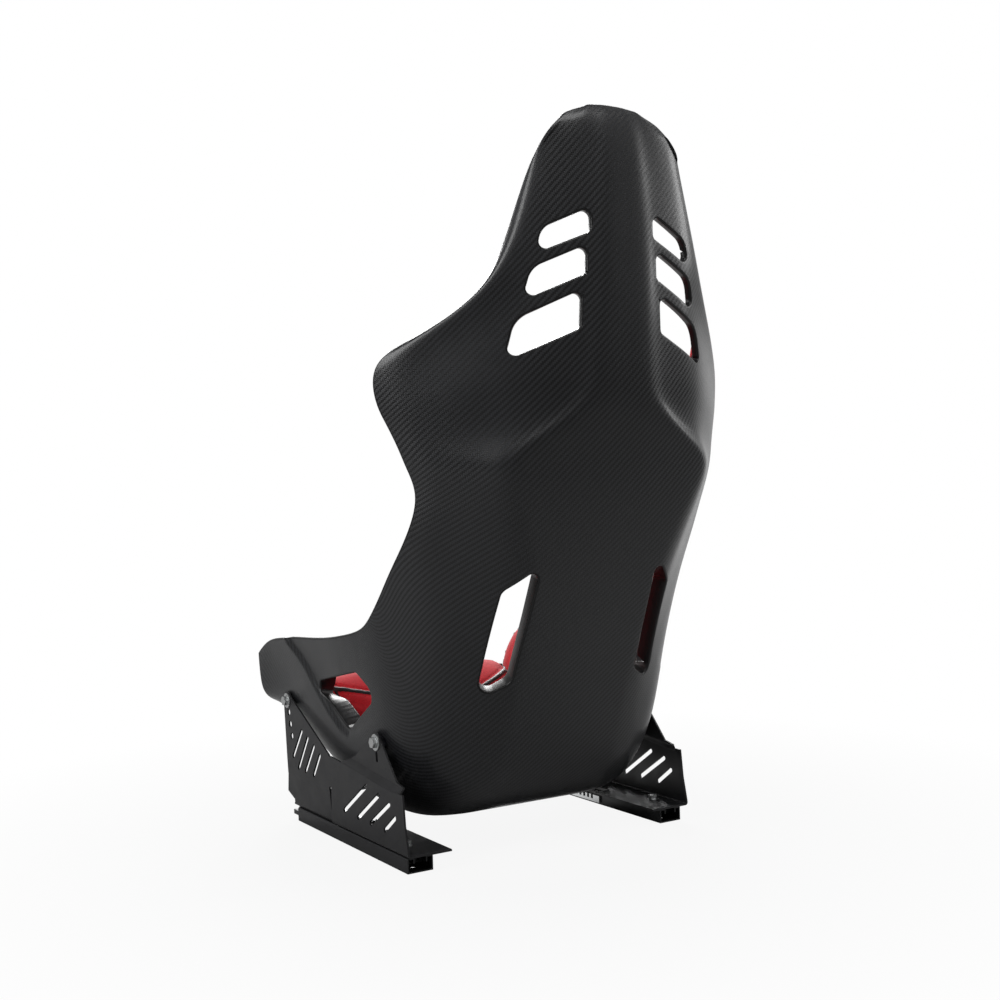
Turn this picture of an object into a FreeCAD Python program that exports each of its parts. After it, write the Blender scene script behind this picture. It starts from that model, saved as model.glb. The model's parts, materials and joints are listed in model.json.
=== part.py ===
"""Fixed-back racing seat on side brackets and sliding floor rails.

Millimetres. +Z is up, the seat faces -Y and its left side is +X. While the
pieces are made, Y = 0 lies between the side bolts; write_parts moves them all
so that the origin is the middle of the overall depth, on the floor.
"""
import FreeCAD
import Part

import math
import os
from collections import namedtuple

V = FreeCAD.Vector

# Shell
WALL = 4.5                 # laminate thickness
RIDGE_ROUND = 7.0          # half width of the bend along each back ridge
PAD_GAP = 0.35             # air between a pad and the laminate
VENT_DEPTH = 60.0          # reach of the cutters behind the back
SLOT_ROUND = 7.0
VENT_NOSE = 15.0           # rounder corner at the outer top of each vent

# Side fixing
BOLT_SPAN_X = 226.0        # outer face of the side brackets, from the middle
BOLT_FRONT = (-260.5, 176.0)
BOLT_REAR = (18.0, 154.0)
BOLT_D = 8.0
BOLT_HEAD_AF = 13.0
BOLT_HEAD_H = 5.3
BOLT_LENGTH = 16.0
BOLT_CLEAR = 0.5           # play of a bolt in a plain hole
WASHER_D = 22.0
WASHER_T = 1.6
RAIL_WASHER_D = 16.0
INSERT_D = 20.0
INSERT_PROUD = 6.0         # inserts stand this far inside the laminate

# Side brackets
PLATE = 2.5
BEND_R = 2.0
JOGGLE = 6.0               # the rear arm stands this much further in
JOGGLE_Z = 118.0           # height of the step at the valley
JOGGLE_RISE = 9.0
JOGGLE_SLOPE = -0.10
LOWER_BEND_Z = 69.0        # the front leg turns in below this
LOWER_BEND_IN = 4.0
FLANGE_REAR = (-26.0, 103.0)
FLANGE_REAR_X = BOLT_SPAN_X - 63.0
FLANGE_FRONT_X = BOLT_SPAN_X - 39.0
SPLIT_Y = (-118.5, -112.5)
VENT_SLOT = 6.5            # width of the slanted slots
LADDER_D = 10.0            # spare holes under the front bolt
LADDER_PITCH = 17.0
LADDER_LEAN = 4.5
ARM_ROUND = 13.0

# Rails
RAIL_INSET = 23.35         # middle of a rail, in from the bracket's outer face
RAIL_SPACING = 2 * (BOLT_SPAN_X - RAIL_INSET)
RAIL_W = 36.5
RAIL_H = 19.5
RAIL_T = 2.0
RAIL_LENGTH = 343.0
RAIL_FRONT = -243.0
LIP_GAP = 16.0             # open width between the curled lips
LIP_DROP = 7.5
UPPER_AHEAD = 22.0         # the upper rail stands this much ahead at rest
UPPER_TOP = 22.5
UPPER_PLATE_W = 28.0
UPPER_T = 2.5
UPPER_GAP = 0.5            # top plate over the lips
STEM_W = 14.0
WING_W = 31.0
RUN_GAP = 0.05             # running clearance of balls and rollers
ROLLER_D = 3.9
ROLLER_W = 14.0
BALL_D = 4.9
BALLS_PER_ROW = 5
BALL_PITCH = 26.0
CAGE_T = 1.2
FLOOR_HOLE_D = 8.5
FLOOR_HOLE_INSET = 21.5    # from each end of the lower rail
FLOOR_HOLE_SPAN = RAIL_LENGTH - 2 * FLOOR_HOLE_INSET
FLANGE_BOLT_Y = (-200.0, 62.0)

# Lock and release bar
RACK_T = 3.0
RACK_Z = (3.0, 13.0)
RACK_Y = (-238.0, -42.0)
NOTCH_PITCH = 10.0
NOTCH_W = 5.2
NOTCH_DEPTH = 6.0
LOCK_GAP = 0.5             # tooth over the rack, drawn released
TOOTH_Y = -150.0
TOOTH_W = 4.6
LEVER_T = 4.0
LEVER_H = 8.0
LEVER_Z = 17.5
PIVOT_Y = -95.0
PIVOT_D = 6.0
PIVOT_GAP = 0.05
LUG_T = 3.0
SOCKET_D = 13.0
SOCKET_L = 24.0
BAR_D = 10.0
BAR_FRONT = -318.0
BAR_BEND = 30.0
SPRING_WIRE = 1.4
SPRING_ROOM = 7.0          # between the lever and the rivet's head
SPRING_LEG = 34.0

# Cushions: edge height, crown and how deep the back starts in the laminate
# before it is trimmed, then where each one lies. A line across the
# middle is (station, half width), one on a side is (station, near, far) with
# near and far counted in columns of the net from the middle.
SEAT_PAD = (44.0, 12.0, 20.0)
KNEE_PAD = (60.0, 14.0, 20.0)
THIGH_PAD = (16.0, 9.0, 16.0)
HIP_PAD = (16.0, 11.0, 24.0)
BACK_PAD = (26.0, 9.0, 14.0)
SHOULDER_PAD = (16.0, 10.0, 24.0)
HEAD_PAD = (24.0, 10.0, 30.0)
SEAT_LINE = [(2.95, 158), (4.0, 158), (5.0, 154), (6.0, 142), (6.5, 134)]
KNEE_LINE = [(0.25, 148), (1.0, 156), (1.9, 158), (2.86, 158)]
BACK_LINE = [(7.9, 72), (9.0, 80), (10.2, 88), (11.3, 118), (13.3, 118), (15.0, 84)]
HEAD_LINE = [(19.75, 74), (20.4, 76), (21.2, 67), (21.9, 50)]
THIGH_LINE = [(0.35, 4.75, 6.75), (1.0, 4.75, 6.75), (1.8, 4.75, 6.75), (2.5, 4.75, 6.75)]
HIP_LINE = [(7.8, 5.1, 6.6), (8.7, 4.8, 6.6), (9.7, 4.75, 6.6), (10.7, 4.9, 6.6)]
SHOULDER_LINE = [(12.7, 4.55, 6.7), (14.5, 4.55, 6.7), (15.7, 4.55, 6.7), (16.6, 4.55, 6.7)]
CUSHION_SPLIT = 6.0        # gap between seat and knee cushions

# Lines of the shell. Each station is a cut across it, from the front lip
# along the pan and up the back to the top of the head: the middle point,
# the ridge's half width, how far the back bows in up to it, the ridge's
# height, the edge of the flat panel, the turn into the side, how far the
# side then swells out, and the rim. A "d" is measured from the middle
# towards the rim.
# The low stations give each x of panel, side and rim as its distance in from
# the outer face of the side brackets, the high ones as its distance from the
# middle of the seat.
Station = namedtuple("Station", "y z ridge bow step panel_x panel_d side_x side_d swell rim_x rim_y rim_z")
LOW_STATIONS = [
    Station(-346, 150, 90, 0, 0, 54, 4, -1, 16, 2, -13, -336, 240),
    Station(-316, 139, 90, 0, 0, 56, 4, 6, 24, -1, -14, -296, 263),
    Station(-255, 112, 90, 0, 0, 58, 4, 15, 28, -4, -15, -236, 270),
    Station(-180, 74, 90, 0, 0, 61, 4, 16, 35, -4, -15, -166, 274),
    Station(-105, 44, 90, 0, 0, 64, 5, 17, 44, -6, -13, -100, 279),
    Station(-30, 33, 90, 0, 0, 68, 6, 20, 50, -6, -14, -35, 288),
    Station(50, 44, 88, 0, 0, 74, 8, 24, 58, -1, -11, 16, 298),
    Station(106, 86, 86, 0, 0, 87, 12, 38, 56, 1, -11, 43, 316),
    Station(134, 160, 84, 0, 0, 97, 16, 45, 58, 1, -8, 68, 344),
    Station(170, 256, 84, 0, 0, 99, 16, 45, 60, 1, -6, 97, 380),
    Station(223, 366, 88, 1, 1, 93, 21, 34, 72, 3, -2, 140, 424),
    Station(258, 462, 126, 6, 3, 65, 26, 25, 66, 3, 5, 160, 474),
]
HIGH_STATIONS = [
    Station(271, 515, 158, 13, 6, 181, 40, 212, 75, 3, 237, 156.5, 509),
    Station(277, 549, 106, 5, 9, 152, 34, 216, 85, 3, 245, 153.5, 534),
    Station(284, 586, 54, 0, 9, 147, 32, 223, 95, 3, 258, 146, 566),
    Station(287, 612, 50, 0, 9, 146, 29, 228, 102, 3, 268, 141, 588),
    Station(291, 668, 46, 0, 9, 138, 28, 224, 106, 3, 274, 141, 636),
    Station(293, 716, 42, 0, 9, 128, 30, 200, 84, 3, 233, 174, 664),
    Station(294, 762, 40, 0, 9, 118, 30, 163, 60, 3, 180, 217, 697),
    Station(294, 812, 37, 0, 8, 108, 28, 138, 46, 3, 152, 235, 742),
    Station(293, 862, 34, 0, 8, 96, 24, 119, 36, 3, 132, 247, 808),
    Station(290, 908, 30, 0, 6, 85, 18, 103, 29, 3, 115, 258, 866),
    Station(284, 935, 26, 0, 4, 67, 13, 88, 22, 3, 103, 272, 897),
    Station(275, 945, 22, 0, 2, 46, 7, 69, 15, 3, 87, 273, 911),
]


def widened(station):
    """A low station with every x measured from the middle."""
    return station._replace(panel_x=BOLT_SPAN_X - station.panel_x, side_x=BOLT_SPAN_X - station.side_x,
                            rim_x=BOLT_SPAN_X - station.rim_x)


STATIONS = [widened(station) for station in LOW_STATIONS] + HIGH_STATIONS
MIDDLE = 7                 # index of the middle column of the net

# Openings in the shell, as corners and the radius of each. Vents and lumbar
# slots are seen from behind as (x, z), the hip hole from the side as (y, z).
VENT_ROUNDS = [SLOT_ROUND, SLOT_ROUND, SLOT_ROUND, VENT_NOSE]
VENTS = [
    ([(48, 815), (48, 786), (115, 759), (110, 788)], VENT_ROUNDS),
    ([(53, 770), (54, 736), (131, 703), (121, 741)], VENT_ROUNDS),
    ([(60, 716), (62, 670), (151, 632), (139, 681)], VENT_ROUNDS),
]
LUMBAR = ([(90, 384), (98, 235), (137, 216), (130, 353)], [SLOT_ROUND] * 4)
HIP = ([(-166, 213), (-20, 242), (24, 213), (-76, 157)], [10.0, 15.0, 15.0, 18.0])


def polygon(points):
    """Closed wire through the points."""
    return Part.makePolygon(list(points) + [points[0]])


def prism(points, direction):
    """Polygon of vectors pushed along a direction."""
    return Part.Face(polygon(points)).extrude(direction)


def rounded_prism(points, radii, direction):
    """The same, with each long edge rounded to its own radius."""
    solid = prism(points, direction)
    along = V(direction)
    along.normalize()
    for corner, radius in zip(points, radii):
        edges = [e for e in solid.Edges
                 if e.Length > 0.99 * direction.Length
                 and abs(abs(e.tangentAt(e.FirstParameter).dot(along)) - 1) < 1e-6
                 and e.distToShape(Part.Vertex(corner))[0] < 1e-6]
        solid = solid.makeFillet(radius, edges)
    return solid


def cylinder(radius, start, end):
    """Cylinder between two points."""
    axis = end - start
    return Part.makeCylinder(radius, axis.Length, start, axis)


def hexagon(across_flats, start, height, axis):
    """Hexagonal prism for a bolt head."""
    radius = across_flats / math.sqrt(3)
    side = V(0, 1, 0) if abs(axis.y) < 0.5 else V(1, 0, 0)
    up = axis.cross(side)
    turns = [math.radians(60 * i) for i in range(6)]
    corners = [start + side * (radius * math.cos(a)) + up * (radius * math.sin(a)) for a in turns]
    return prism(corners, axis * height)


def mirrored(shape):
    """The other side's piece."""
    return shape.mirror(V(0, 0, 0), V(1, 0, 0))


def box(low, high):
    """Box between two corners."""
    return Part.makeBox(high[0] - low[0], high[1] - low[1], high[2] - low[2], V(*low))


def slot(start, end, width, depth):
    """Round-ended slot cutter in a side plate, from (y, z) to (y, z)."""
    x = BOLT_SPAN_X - depth
    run = V(0, end[0] - start[0], end[1] - start[1])
    along = V(run)
    along.normalize()
    side = V(1, 0, 0).cross(along) * (width / 2)
    a = V(x, start[0], start[1])
    b = V(x, end[0], end[1])
    body = prism([a - side, b - side, b + side, a + side], V(2 * depth, 0, 0))
    for end_point in (a, b):
        body = body.fuse(cylinder(width / 2, end_point, end_point + V(2 * depth, 0, 0)))
    return body


def half_section(station):
    """Control points of one cut, from the middle to the left rim."""
    start = V(0, station.y, station.z)
    rim = V(0, station.rim_y, station.rim_z)
    depth = (rim - start).Length
    inward = (rim - start) * (1 / depth)

    def point(x, d):
        return V(x, 0, 0) + start + inward * d

    ridge_in = station.ridge - RIDGE_ROUND
    ridge_out = station.ridge + RIDGE_ROUND
    ridge_d = station.bow + station.step
    return [
        point(0, 0),
        point(ridge_in, station.bow),
        point(ridge_out, ridge_d),
        point((ridge_out + station.panel_x) / 2, (ridge_d + station.panel_d) / 2 - 2),
        point(station.panel_x, station.panel_d),
        point(station.side_x, station.side_d),
        point(0.45 * station.side_x + 0.55 * station.rim_x + station.swell, (station.side_d + depth) / 2),
        point(station.rim_x, depth),
    ]


def shell_net():
    """Control net of the outer face, rim to rim at every station."""
    net = []
    for station in STATIONS:
        half = half_section(station)
        right = [V(-p.x, p.y, p.z) for p in reversed(half[1:])]
        net.append(right + half)
    return net


def offset_net(net, distance):
    """The net moved towards the occupant along its own normals."""
    rows = len(net)
    columns = len(net[0])
    moved = []
    for i in range(rows):
        row = []
        for j in range(columns):
            du = net[min(i + 1, rows - 1)][j] - net[max(i - 1, 0)][j]
            dv = net[i][min(j + 1, columns - 1)] - net[i][max(j - 1, 0)]
            normal = dv.cross(du)
            normal.normalize()
            row.append(net[i][j] + normal * distance)
        moved.append(row)
    return moved


def clamped(points):
    """Control points of a cubic that ends on its first and last point."""
    start = points[0] * (2 / 3) + points[1] * (1 / 3)
    end = points[-1] * (2 / 3) + points[-2] * (1 / 3)
    return [points[0], start] + list(points[1:-1]) + [end, points[-1]]


def surface(net):
    """Cubic surface over a control net; u is the station, v the column."""
    rows = [clamped(row) for row in net]
    columns = [clamped([row[j] for row in rows]) for j in range(len(rows[0]))]
    poles = [[column[i] for column in columns] for i in range(len(columns[0]))]
    u_last = len(net) - 1
    v_last = len(net[0]) - 1
    result = Part.BSplineSurface()
    result.buildFromPolesMultsKnots(
        poles, [4] + [1] * (u_last - 1) + [4], [4] + [1] * (v_last - 1) + [4],
        list(range(u_last + 1)), list(range(v_last + 1)), False, False, 3, 3)
    return result


def layer(outer, inner):
    """Solid between two surfaces over like nets."""
    u_last = len(STATIONS) - 1
    v_last = 2 * MIDDLE
    faces = [outer.toShape(), inner.toShape()]
    for u in (0, u_last):
        faces.append(Part.makeRuledSurface(outer.uIso(u).toShape(), inner.uIso(u).toShape()))
    for v in (0, v_last):
        faces.append(Part.makeRuledSurface(outer.vIso(v).toShape(), inner.vIso(v).toShape()))
    skin = Part.makeShell(faces)
    skin.sewShape()
    solid = Part.makeSolid(skin)
    if solid.Volume < 0:
        solid.reverse()
    return solid


def bolt_places():
    """Bolts through the left side: place and inner face of the bracket."""
    return [(BOLT_FRONT, BOLT_SPAN_X - PLATE), (BOLT_REAR, BOLT_SPAN_X - PLATE - JOGGLE)]


def insert_places():
    """The same with the inner end of each insert."""
    inner = surface(offset_net(shell_net(), WALL)).toShape()
    places = []
    for (y, z), face_x in bolt_places():
        line = Part.makeLine(V(face_x / 2, y, z), V(face_x + VENT_DEPTH, y, z))
        wall_x = inner.distToShape(line)[1][0][0].x
        places.append(((y, z), face_x, wall_x - INSERT_PROUD))
    return places


def insert_room(play):
    """Space of the inserts on the left side, with some play around."""
    rods = [cylinder(INSERT_D / 2 + play, V(face_x + VENT_DEPTH, y, z), V(end_x - play, y, z))
            for (y, z), face_x, end_x in insert_places()]
    return rods[0].fuse(rods[1:])


def shell_openings():
    """Cutters for vents, lumbar slots, hip holes and insert holes."""
    cutters = []
    for corners, radii in VENTS:
        points = [V(x, STATIONS[17].y + VENT_DEPTH, z) for x, z in corners]
        cutters.append(rounded_prism(points, radii, V(0, -2.5 * VENT_DEPTH, 0)))
    corners, radii = LUMBAR
    points = [V(x, STATIONS[10].y + VENT_DEPTH, z) for x, z in corners]
    cutters.append(rounded_prism(points, radii, V(0, -3.5 * VENT_DEPTH, 0)))
    corners, radii = HIP
    points = [V(BOLT_SPAN_X + VENT_DEPTH, y, z) for y, z in corners]
    cutters.append(rounded_prism(points, radii, V(-2 * VENT_DEPTH, 0, 0)))
    return cutters + [insert_room(0)]


def make_shell(net):
    """The laminate with every opening cut."""
    solid = layer(surface(net), surface(offset_net(net, WALL)))
    cutters = shell_openings()
    return solid.cut(cutters + [mirrored(c) for c in cutters])


def wall_v(inner, u, x):
    """Column parameter where the inner face reaches x at station u."""
    low, high = float(MIDDLE), 2.0 * MIDDLE
    for _ in range(40):
        middle = (low + high) / 2
        if inner.value(u, middle).x < x:
            low = middle
        else:
            high = middle
    return (low + high) / 2


def pad_section(a, b, along, edge, crown, sink):
    """Wire across a pad: sunk back, drawn-in sides and a crowned face."""
    across = b - a
    across.normalize()
    out = across.cross(along)
    out.normalize()
    drawn = 2.5
    back_a = a - out * sink
    back_b = b - out * sink
    top_a = a + out * edge + across * drawn
    top_b = b + out * edge - across * drawn
    middle = (top_a + top_b) * 0.5 + out * crown
    side_a = (back_a + top_a) * 0.5 - across * (drawn * 0.6)
    side_b = (back_b + top_b) * 0.5 + across * (drawn * 0.6)
    return Part.Wire([
        Part.LineSegment(back_a, back_b).toShape(),
        Part.Arc(back_b, side_b, top_b).toShape(),
        Part.Arc(top_b, middle, top_a).toShape(),
        Part.Arc(top_a, side_a, back_a).toShape(),
    ])


def make_pad(inner, envelope, stations, size):
    """Cushion on the inner face. stations: (u, v of one edge, v of the other)."""
    edge, crown, sink = size
    wires = []
    last = len(stations) - 1
    for i, (u, va, vb) in enumerate(stations):
        a = inner.value(u, va)
        b = inner.value(u, vb)
        step = 0.05
        along = inner.value(u + step, (va + vb) / 2) - inner.value(u - step, (va + vb) / 2)
        fullness = 0.62 if i in (0, last) else 1.0
        wires.append(pad_section(a, b, along, edge * fullness, crown * fullness, sink))
    return Part.makeLoft(wires, True, False).cut(envelope)


def make_pads(net):
    """Every cushion, trimmed to the laminate."""
    inner = surface(offset_net(net, WALL))
    outside = -2 * SEAT_PAD[2]
    envelope = layer(surface(offset_net(net, outside)), surface(offset_net(net, WALL + PAD_GAP)))

    def across(u, half_width):
        v = wall_v(inner, u, half_width)
        return (u, 2 * MIDDLE - v, v)

    def side(u, near, far):
        return (u, MIDDLE + near, MIDDLE + far)

    middle = {
        "seat_cushion": (SEAT_LINE, SEAT_PAD),
        "knee_cushion": (KNEE_LINE, KNEE_PAD),
        "back_cushion": (BACK_LINE, BACK_PAD),
        "head_cushion": (HEAD_LINE, HEAD_PAD),
    }
    left = {
        "thigh_pad": (THIGH_LINE, THIGH_PAD),
        "hip_pad": (HIP_LINE, HIP_PAD),
        "shoulder_pad": (SHOULDER_LINE, SHOULDER_PAD),
    }
    pads = {}
    for name, (line, size) in middle.items():
        pads[name] = make_pad(inner, envelope, [across(*cut) for cut in line], size)
    envelope = envelope.fuse(insert_room(PAD_GAP))
    for name, (line, size) in left.items():
        solid = make_pad(inner, envelope, [side(*cut) for cut in line], size)
        pads[name + "_left"] = solid
        pads[name + "_right"] = mirrored(solid)
    return pads


def make_inserts():
    """Threaded inserts bonded into the sides of the shell."""
    solids = []
    for (y, z), face_x, end_x in insert_places():
        body = cylinder(INSERT_D / 2, V(face_x, y, z), V(end_x, y, z))
        solids.append(body.cut(cylinder(BOLT_D / 2, V(face_x + 1, y, z), V(end_x - 1, y, z))))
    return group(solids + [mirrored(s) for s in solids])


def group(solids):
    """Separate solids kept in one node."""
    return Part.makeCompound(solids)


def side_bolts():
    """Hexagon bolts and washers that hold the shell to the brackets."""
    bolts, washers = [], []
    for (y, z), face_x in bolt_places():
        plate_x = face_x + PLATE
        ring = cylinder(WASHER_D / 2, V(plate_x, y, z), V(plate_x + WASHER_T, y, z))
        hole = cylinder((BOLT_D + BOLT_CLEAR) / 2, V(plate_x - 1, y, z), V(plate_x + WASHER_T + 1, y, z))
        washers.append(ring.cut(hole))
        seat_x = plate_x + WASHER_T
        head = hexagon(BOLT_HEAD_AF, V(seat_x, y, z), BOLT_HEAD_H, V(1, 0, 0))
        shank = cylinder(BOLT_D / 2, V(seat_x, y, z), V(seat_x - BOLT_LENGTH, y, z))
        bolts.append(head.fuse(shank))
    return group(bolts + [mirrored(b) for b in bolts]), group(washers + [mirrored(w) for w in washers])


def turned_path(points, radii):
    """Edges through the points with an arc at each inner corner."""
    edges = []
    start = points[0]
    for i in range(1, len(points) - 1):
        back = points[i - 1] - points[i]
        ahead = points[i + 1] - points[i]
        back.normalize()
        ahead.normalize()
        half = math.acos(max(-1.0, min(1.0, back.dot(ahead)))) / 2
        reach = radii[i - 1] / math.tan(half)
        bisector = back + ahead
        bisector.normalize()
        a = points[i] + back * reach
        b = points[i] + ahead * reach
        centre = points[i] + bisector * (radii[i - 1] / math.sin(half))
        edges.append(Part.LineSegment(start, a).toShape())
        edges.append(Part.Arc(a, centre - bisector * radii[i - 1], b).toShape())
        start = b
    edges.append(Part.LineSegment(start, points[-1]).toShape())
    return edges


def sheet(points, thickness, push):
    """Bent sheet: a path in a plane of constant y, thickened to its left."""
    count = len(points)
    normals = []
    for i in range(count - 1):
        run = points[i + 1] - points[i]
        run.normalize()
        normals.append(V(-run.z, 0, run.x))
    far = [points[0] + normals[0] * thickness]
    near_radii, far_radii = [], []
    for i in range(1, count - 1):
        bisector = normals[i - 1] + normals[i]
        bisector.normalize()
        far.append(points[i] + bisector * (thickness / bisector.dot(normals[i])))
        turn = normals[i - 1].cross(normals[i]).y
        left_turn = turn < 0
        near_radii.append(BEND_R + thickness if left_turn else BEND_R)
        far_radii.append(BEND_R if left_turn else BEND_R + thickness)
    far.append(points[-1] + normals[-1] * thickness)
    edges = turned_path(points, near_radii) + turned_path(far, far_radii)
    edges.append(Part.LineSegment(points[0], far[0]).toShape())
    edges.append(Part.LineSegment(points[-1], far[-1]).toShape())
    wire = Part.Wire(Part.__sortEdges__(edges))
    return Part.Face(wire).extrude(push)


def side_outline(points):
    """Cutter with a side-view outline, right across a bracket."""
    return prism([V(FLANGE_REAR_X - 20, y, z) for y, z in points], V(BOLT_SPAN_X - FLANGE_REAR_X + 40, 0, 0))


def front_leg():
    """Front arm: upright with a ladder of holes, turned in to the rail below."""
    y0, y1 = -290.0, SPLIT_Y[0]
    x = BOLT_SPAN_X
    low_x = x - LOWER_BEND_IN
    path = [V(FLANGE_FRONT_X, y0, UPPER_TOP), V(low_x, y0, UPPER_TOP),
            V(x, y0, LOWER_BEND_Z), V(x, y0, 200.0)]
    body = sheet(path, PLATE, V(0, y1 - y0, 0))
    y, z = BOLT_FRONT
    outline = side_outline([
        (y - ARM_ROUND, z - 4), (-267, 94), (-264, LOWER_BEND_Z - 2), (-272, 40), (-250, 31),
        (-250, UPPER_TOP - 2), (y1, UPPER_TOP - 2), (y1, 117), (y + ARM_ROUND, z + 6),
        (y + ARM_ROUND * 0.4, z + ARM_ROUND), (y - ARM_ROUND * 0.6, z + ARM_ROUND - 1)])
    body = body.common(outline)
    cutters = []
    for step in range(4):
        hole_y = y + LADDER_LEAN * step
        hole_z = z - LADDER_PITCH * step
        start = V(x - 20, hole_y, hole_z)
        diameter = LADDER_D if step else BOLT_D + BOLT_CLEAR
        cutters.append(cylinder(diameter / 2, start, start + V(40, 0, 0)))
    for start, end in (((-211, 137), (-243, 96)), ((-190, 130), (-224, 82)),
                       ((-169, 121), (-199, 81)), ((-149, 111), (-171, 80))):
        cutters.append(slot(start, end, VENT_SLOT, 20))
    cutters.append(rail_hole(FLANGE_BOLT_Y[0]))
    return body.cut(cutters)


def rail_hole(y, play=BOLT_CLEAR):
    """Cutter for a bolt through the flange, or for its thread in the rail."""
    x = RAIL_SPACING / 2
    return cylinder((BOLT_D + play) / 2, V(x, y, UPPER_TOP - 20), V(x, y, UPPER_TOP + 20))


def rear_leg():
    """Rear arm: stepped upright with a slot, and a wide foot on the rail."""
    x = BOLT_SPAN_X
    y0 = SPLIT_Y[1]
    y1 = FLANGE_REAR[1] + 15
    foot = sheet([V(FLANGE_REAR_X, y0, UPPER_TOP), V(x, y0, UPPER_TOP), V(x, y0, 100.0)],
                 PLATE, V(0, y1 - y0, 0))
    foot = foot.common(side_outline([(y0, UPPER_TOP - 2), (112, UPPER_TOP - 2), (111, 30), (104, 62),
                                     (100, 100), (y0, 100)]))
    foot = foot.cut(box((FLANGE_REAR_X - 1, y0 - 1, UPPER_TOP - 5),
                        (FLANGE_FRONT_X, FLANGE_REAR[0], UPPER_TOP + 20)))
    lean = V(0, 1, JOGGLE_SLOPE)
    start = V(0, y0, JOGGLE_Z - JOGGLE_SLOPE * (y0 + 75.0) * -1)
    step = sheet([start + V(x, 0, -40), start + V(x, 0, -JOGGLE_RISE / 2),
                  start + V(x - JOGGLE, 0, JOGGLE_RISE / 2), start + V(x - JOGGLE, 0, 80)],
                 PLATE, lean * (y1 - y0))
    y, z = BOLT_REAR
    step = step.common(side_outline([
        (y0, 80), (y0, 116), (-80, 113), (-62, 120), (-44, 127), (y - ARM_ROUND - 5, z + 4),
        (y - ARM_ROUND * 0.55, z + ARM_ROUND), (y + ARM_ROUND * 0.5, z + ARM_ROUND), (y + ARM_ROUND, z + 4),
        (73, 111), (92, 107), (90, 101), (100, 80)]))
    body = foot.fuse(step).removeSplitter()
    cutters = [cylinder((BOLT_D + BOLT_CLEAR) / 2, V(x - 25, y, z), V(x + 20, y, z)),
               slot((y + 1, z - 15), (y + 2, z - 23), 6.0, 30),
               rail_hole(FLANGE_BOLT_Y[1])]
    for a, b in (((-2, 94), (-71, 49)), ((33, 88), (-29, 47)), ((63, 82), (9, 47)), ((78, 67), (49, 46))):
        cutters.append(slot(a, b, VENT_SLOT, 20))
    return body.cut(cutters)


def make_bracket():
    """Left side bracket: both legs joined at the valley above the split."""
    front = front_leg()
    rear = rear_leg()
    x = BOLT_SPAN_X
    web = box((x - PLATE, SPLIT_Y[0] - 1, LOWER_BEND_Z + 4), (x, SPLIT_Y[1] + 1, 115.5))
    return front.fuse([rear, web]).removeSplitter()


def rail_profile(points):
    """Face across a rail from (x, z) pairs about the rail's middle."""
    return Part.Face(polygon([V(RAIL_SPACING / 2 + x, 0, z) for x, z in points]))


def make_lower_rail():
    """Floor channel with curled lips."""
    w, t, g = RAIL_W / 2, RAIL_T, LIP_GAP / 2
    top = RAIL_H
    half = [(w, 0), (w, top), (g, top), (g, top - LIP_DROP), (g + t, top - LIP_DROP),
            (g + t, top - t), (w - t, top - t), (w - t, t)]
    points = half + [(-x, z) for x, z in reversed(half)]
    body = rail_profile(points).extrude(V(0, RAIL_LENGTH, 0))
    body.translate(V(0, RAIL_FRONT, 0))
    long_edges = [e for e in body.Edges if e.Length > RAIL_LENGTH - 1
                  and abs(e.CenterOfMass.z - top) < 0.01
                  and abs(abs(e.CenterOfMass.x - RAIL_SPACING / 2) - w) < 0.01]
    body = body.makeFillet(RAIL_T * 0.9, long_edges)
    middle = RAIL_FRONT + RAIL_LENGTH / 2
    for y in (middle - FLOOR_HOLE_SPAN / 2, middle + FLOOR_HOLE_SPAN / 2):
        body = body.cut(cylinder(FLOOR_HOLE_D / 2, V(RAIL_SPACING / 2, y, -5), V(RAIL_SPACING / 2, y, 10)))
    return body


def upper_front():
    """Front end of the upper rail at rest."""
    return RAIL_FRONT - UPPER_AHEAD


def make_upper_rail():
    """Sliding rail: top plate, stem and winged foot, with the lever's lug."""
    s, p, w = STEM_W / 2, UPPER_PLATE_W / 2, WING_W / 2
    top = UPPER_TOP
    under = RAIL_H + UPPER_GAP
    foot = RAIL_T + ROLLER_D + 2 * RUN_GAP
    tip = RAIL_H - RAIL_T - BALL_D - 2 * RUN_GAP
    lip = LIP_GAP / 2 + RAIL_T + 0.5
    half = [(w, foot), (w, tip), (lip, tip), (lip, foot + UPPER_T),
            (s, foot + UPPER_T), (s, under), (p, under), (p, top)]
    points = half + [(-x, z) for x, z in reversed(half)]
    body = rail_profile(points).extrude(V(0, RAIL_LENGTH, 0))
    body.translate(V(0, upper_front(), 0))
    x_in = RAIL_SPACING / 2 - p + 2
    lug_x = RAIL_SPACING / 2 - RAIL_W / 2 - RACK_T - 0.9
    lug_y = (PIVOT_Y - 10, PIVOT_Y + 10)
    tab = box((lug_x - LUG_T, lug_y[0], under), (x_in, lug_y[1], top))
    leg = box((lug_x - LUG_T, lug_y[0], LEVER_Z - 7), (lug_x, lug_y[1], top))
    body = body.fuse([tab, leg]).removeSplitter()
    cutters = [rail_hole(y, 0) for y in FLANGE_BOLT_Y]
    start = V(lug_x - 2 * LUG_T, PIVOT_Y, LEVER_Z - 1)
    cutters.append(cylinder(PIVOT_D / 2, start, start + V(3 * LUG_T, 0, 0)))
    return body.cut(cutters)


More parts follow.
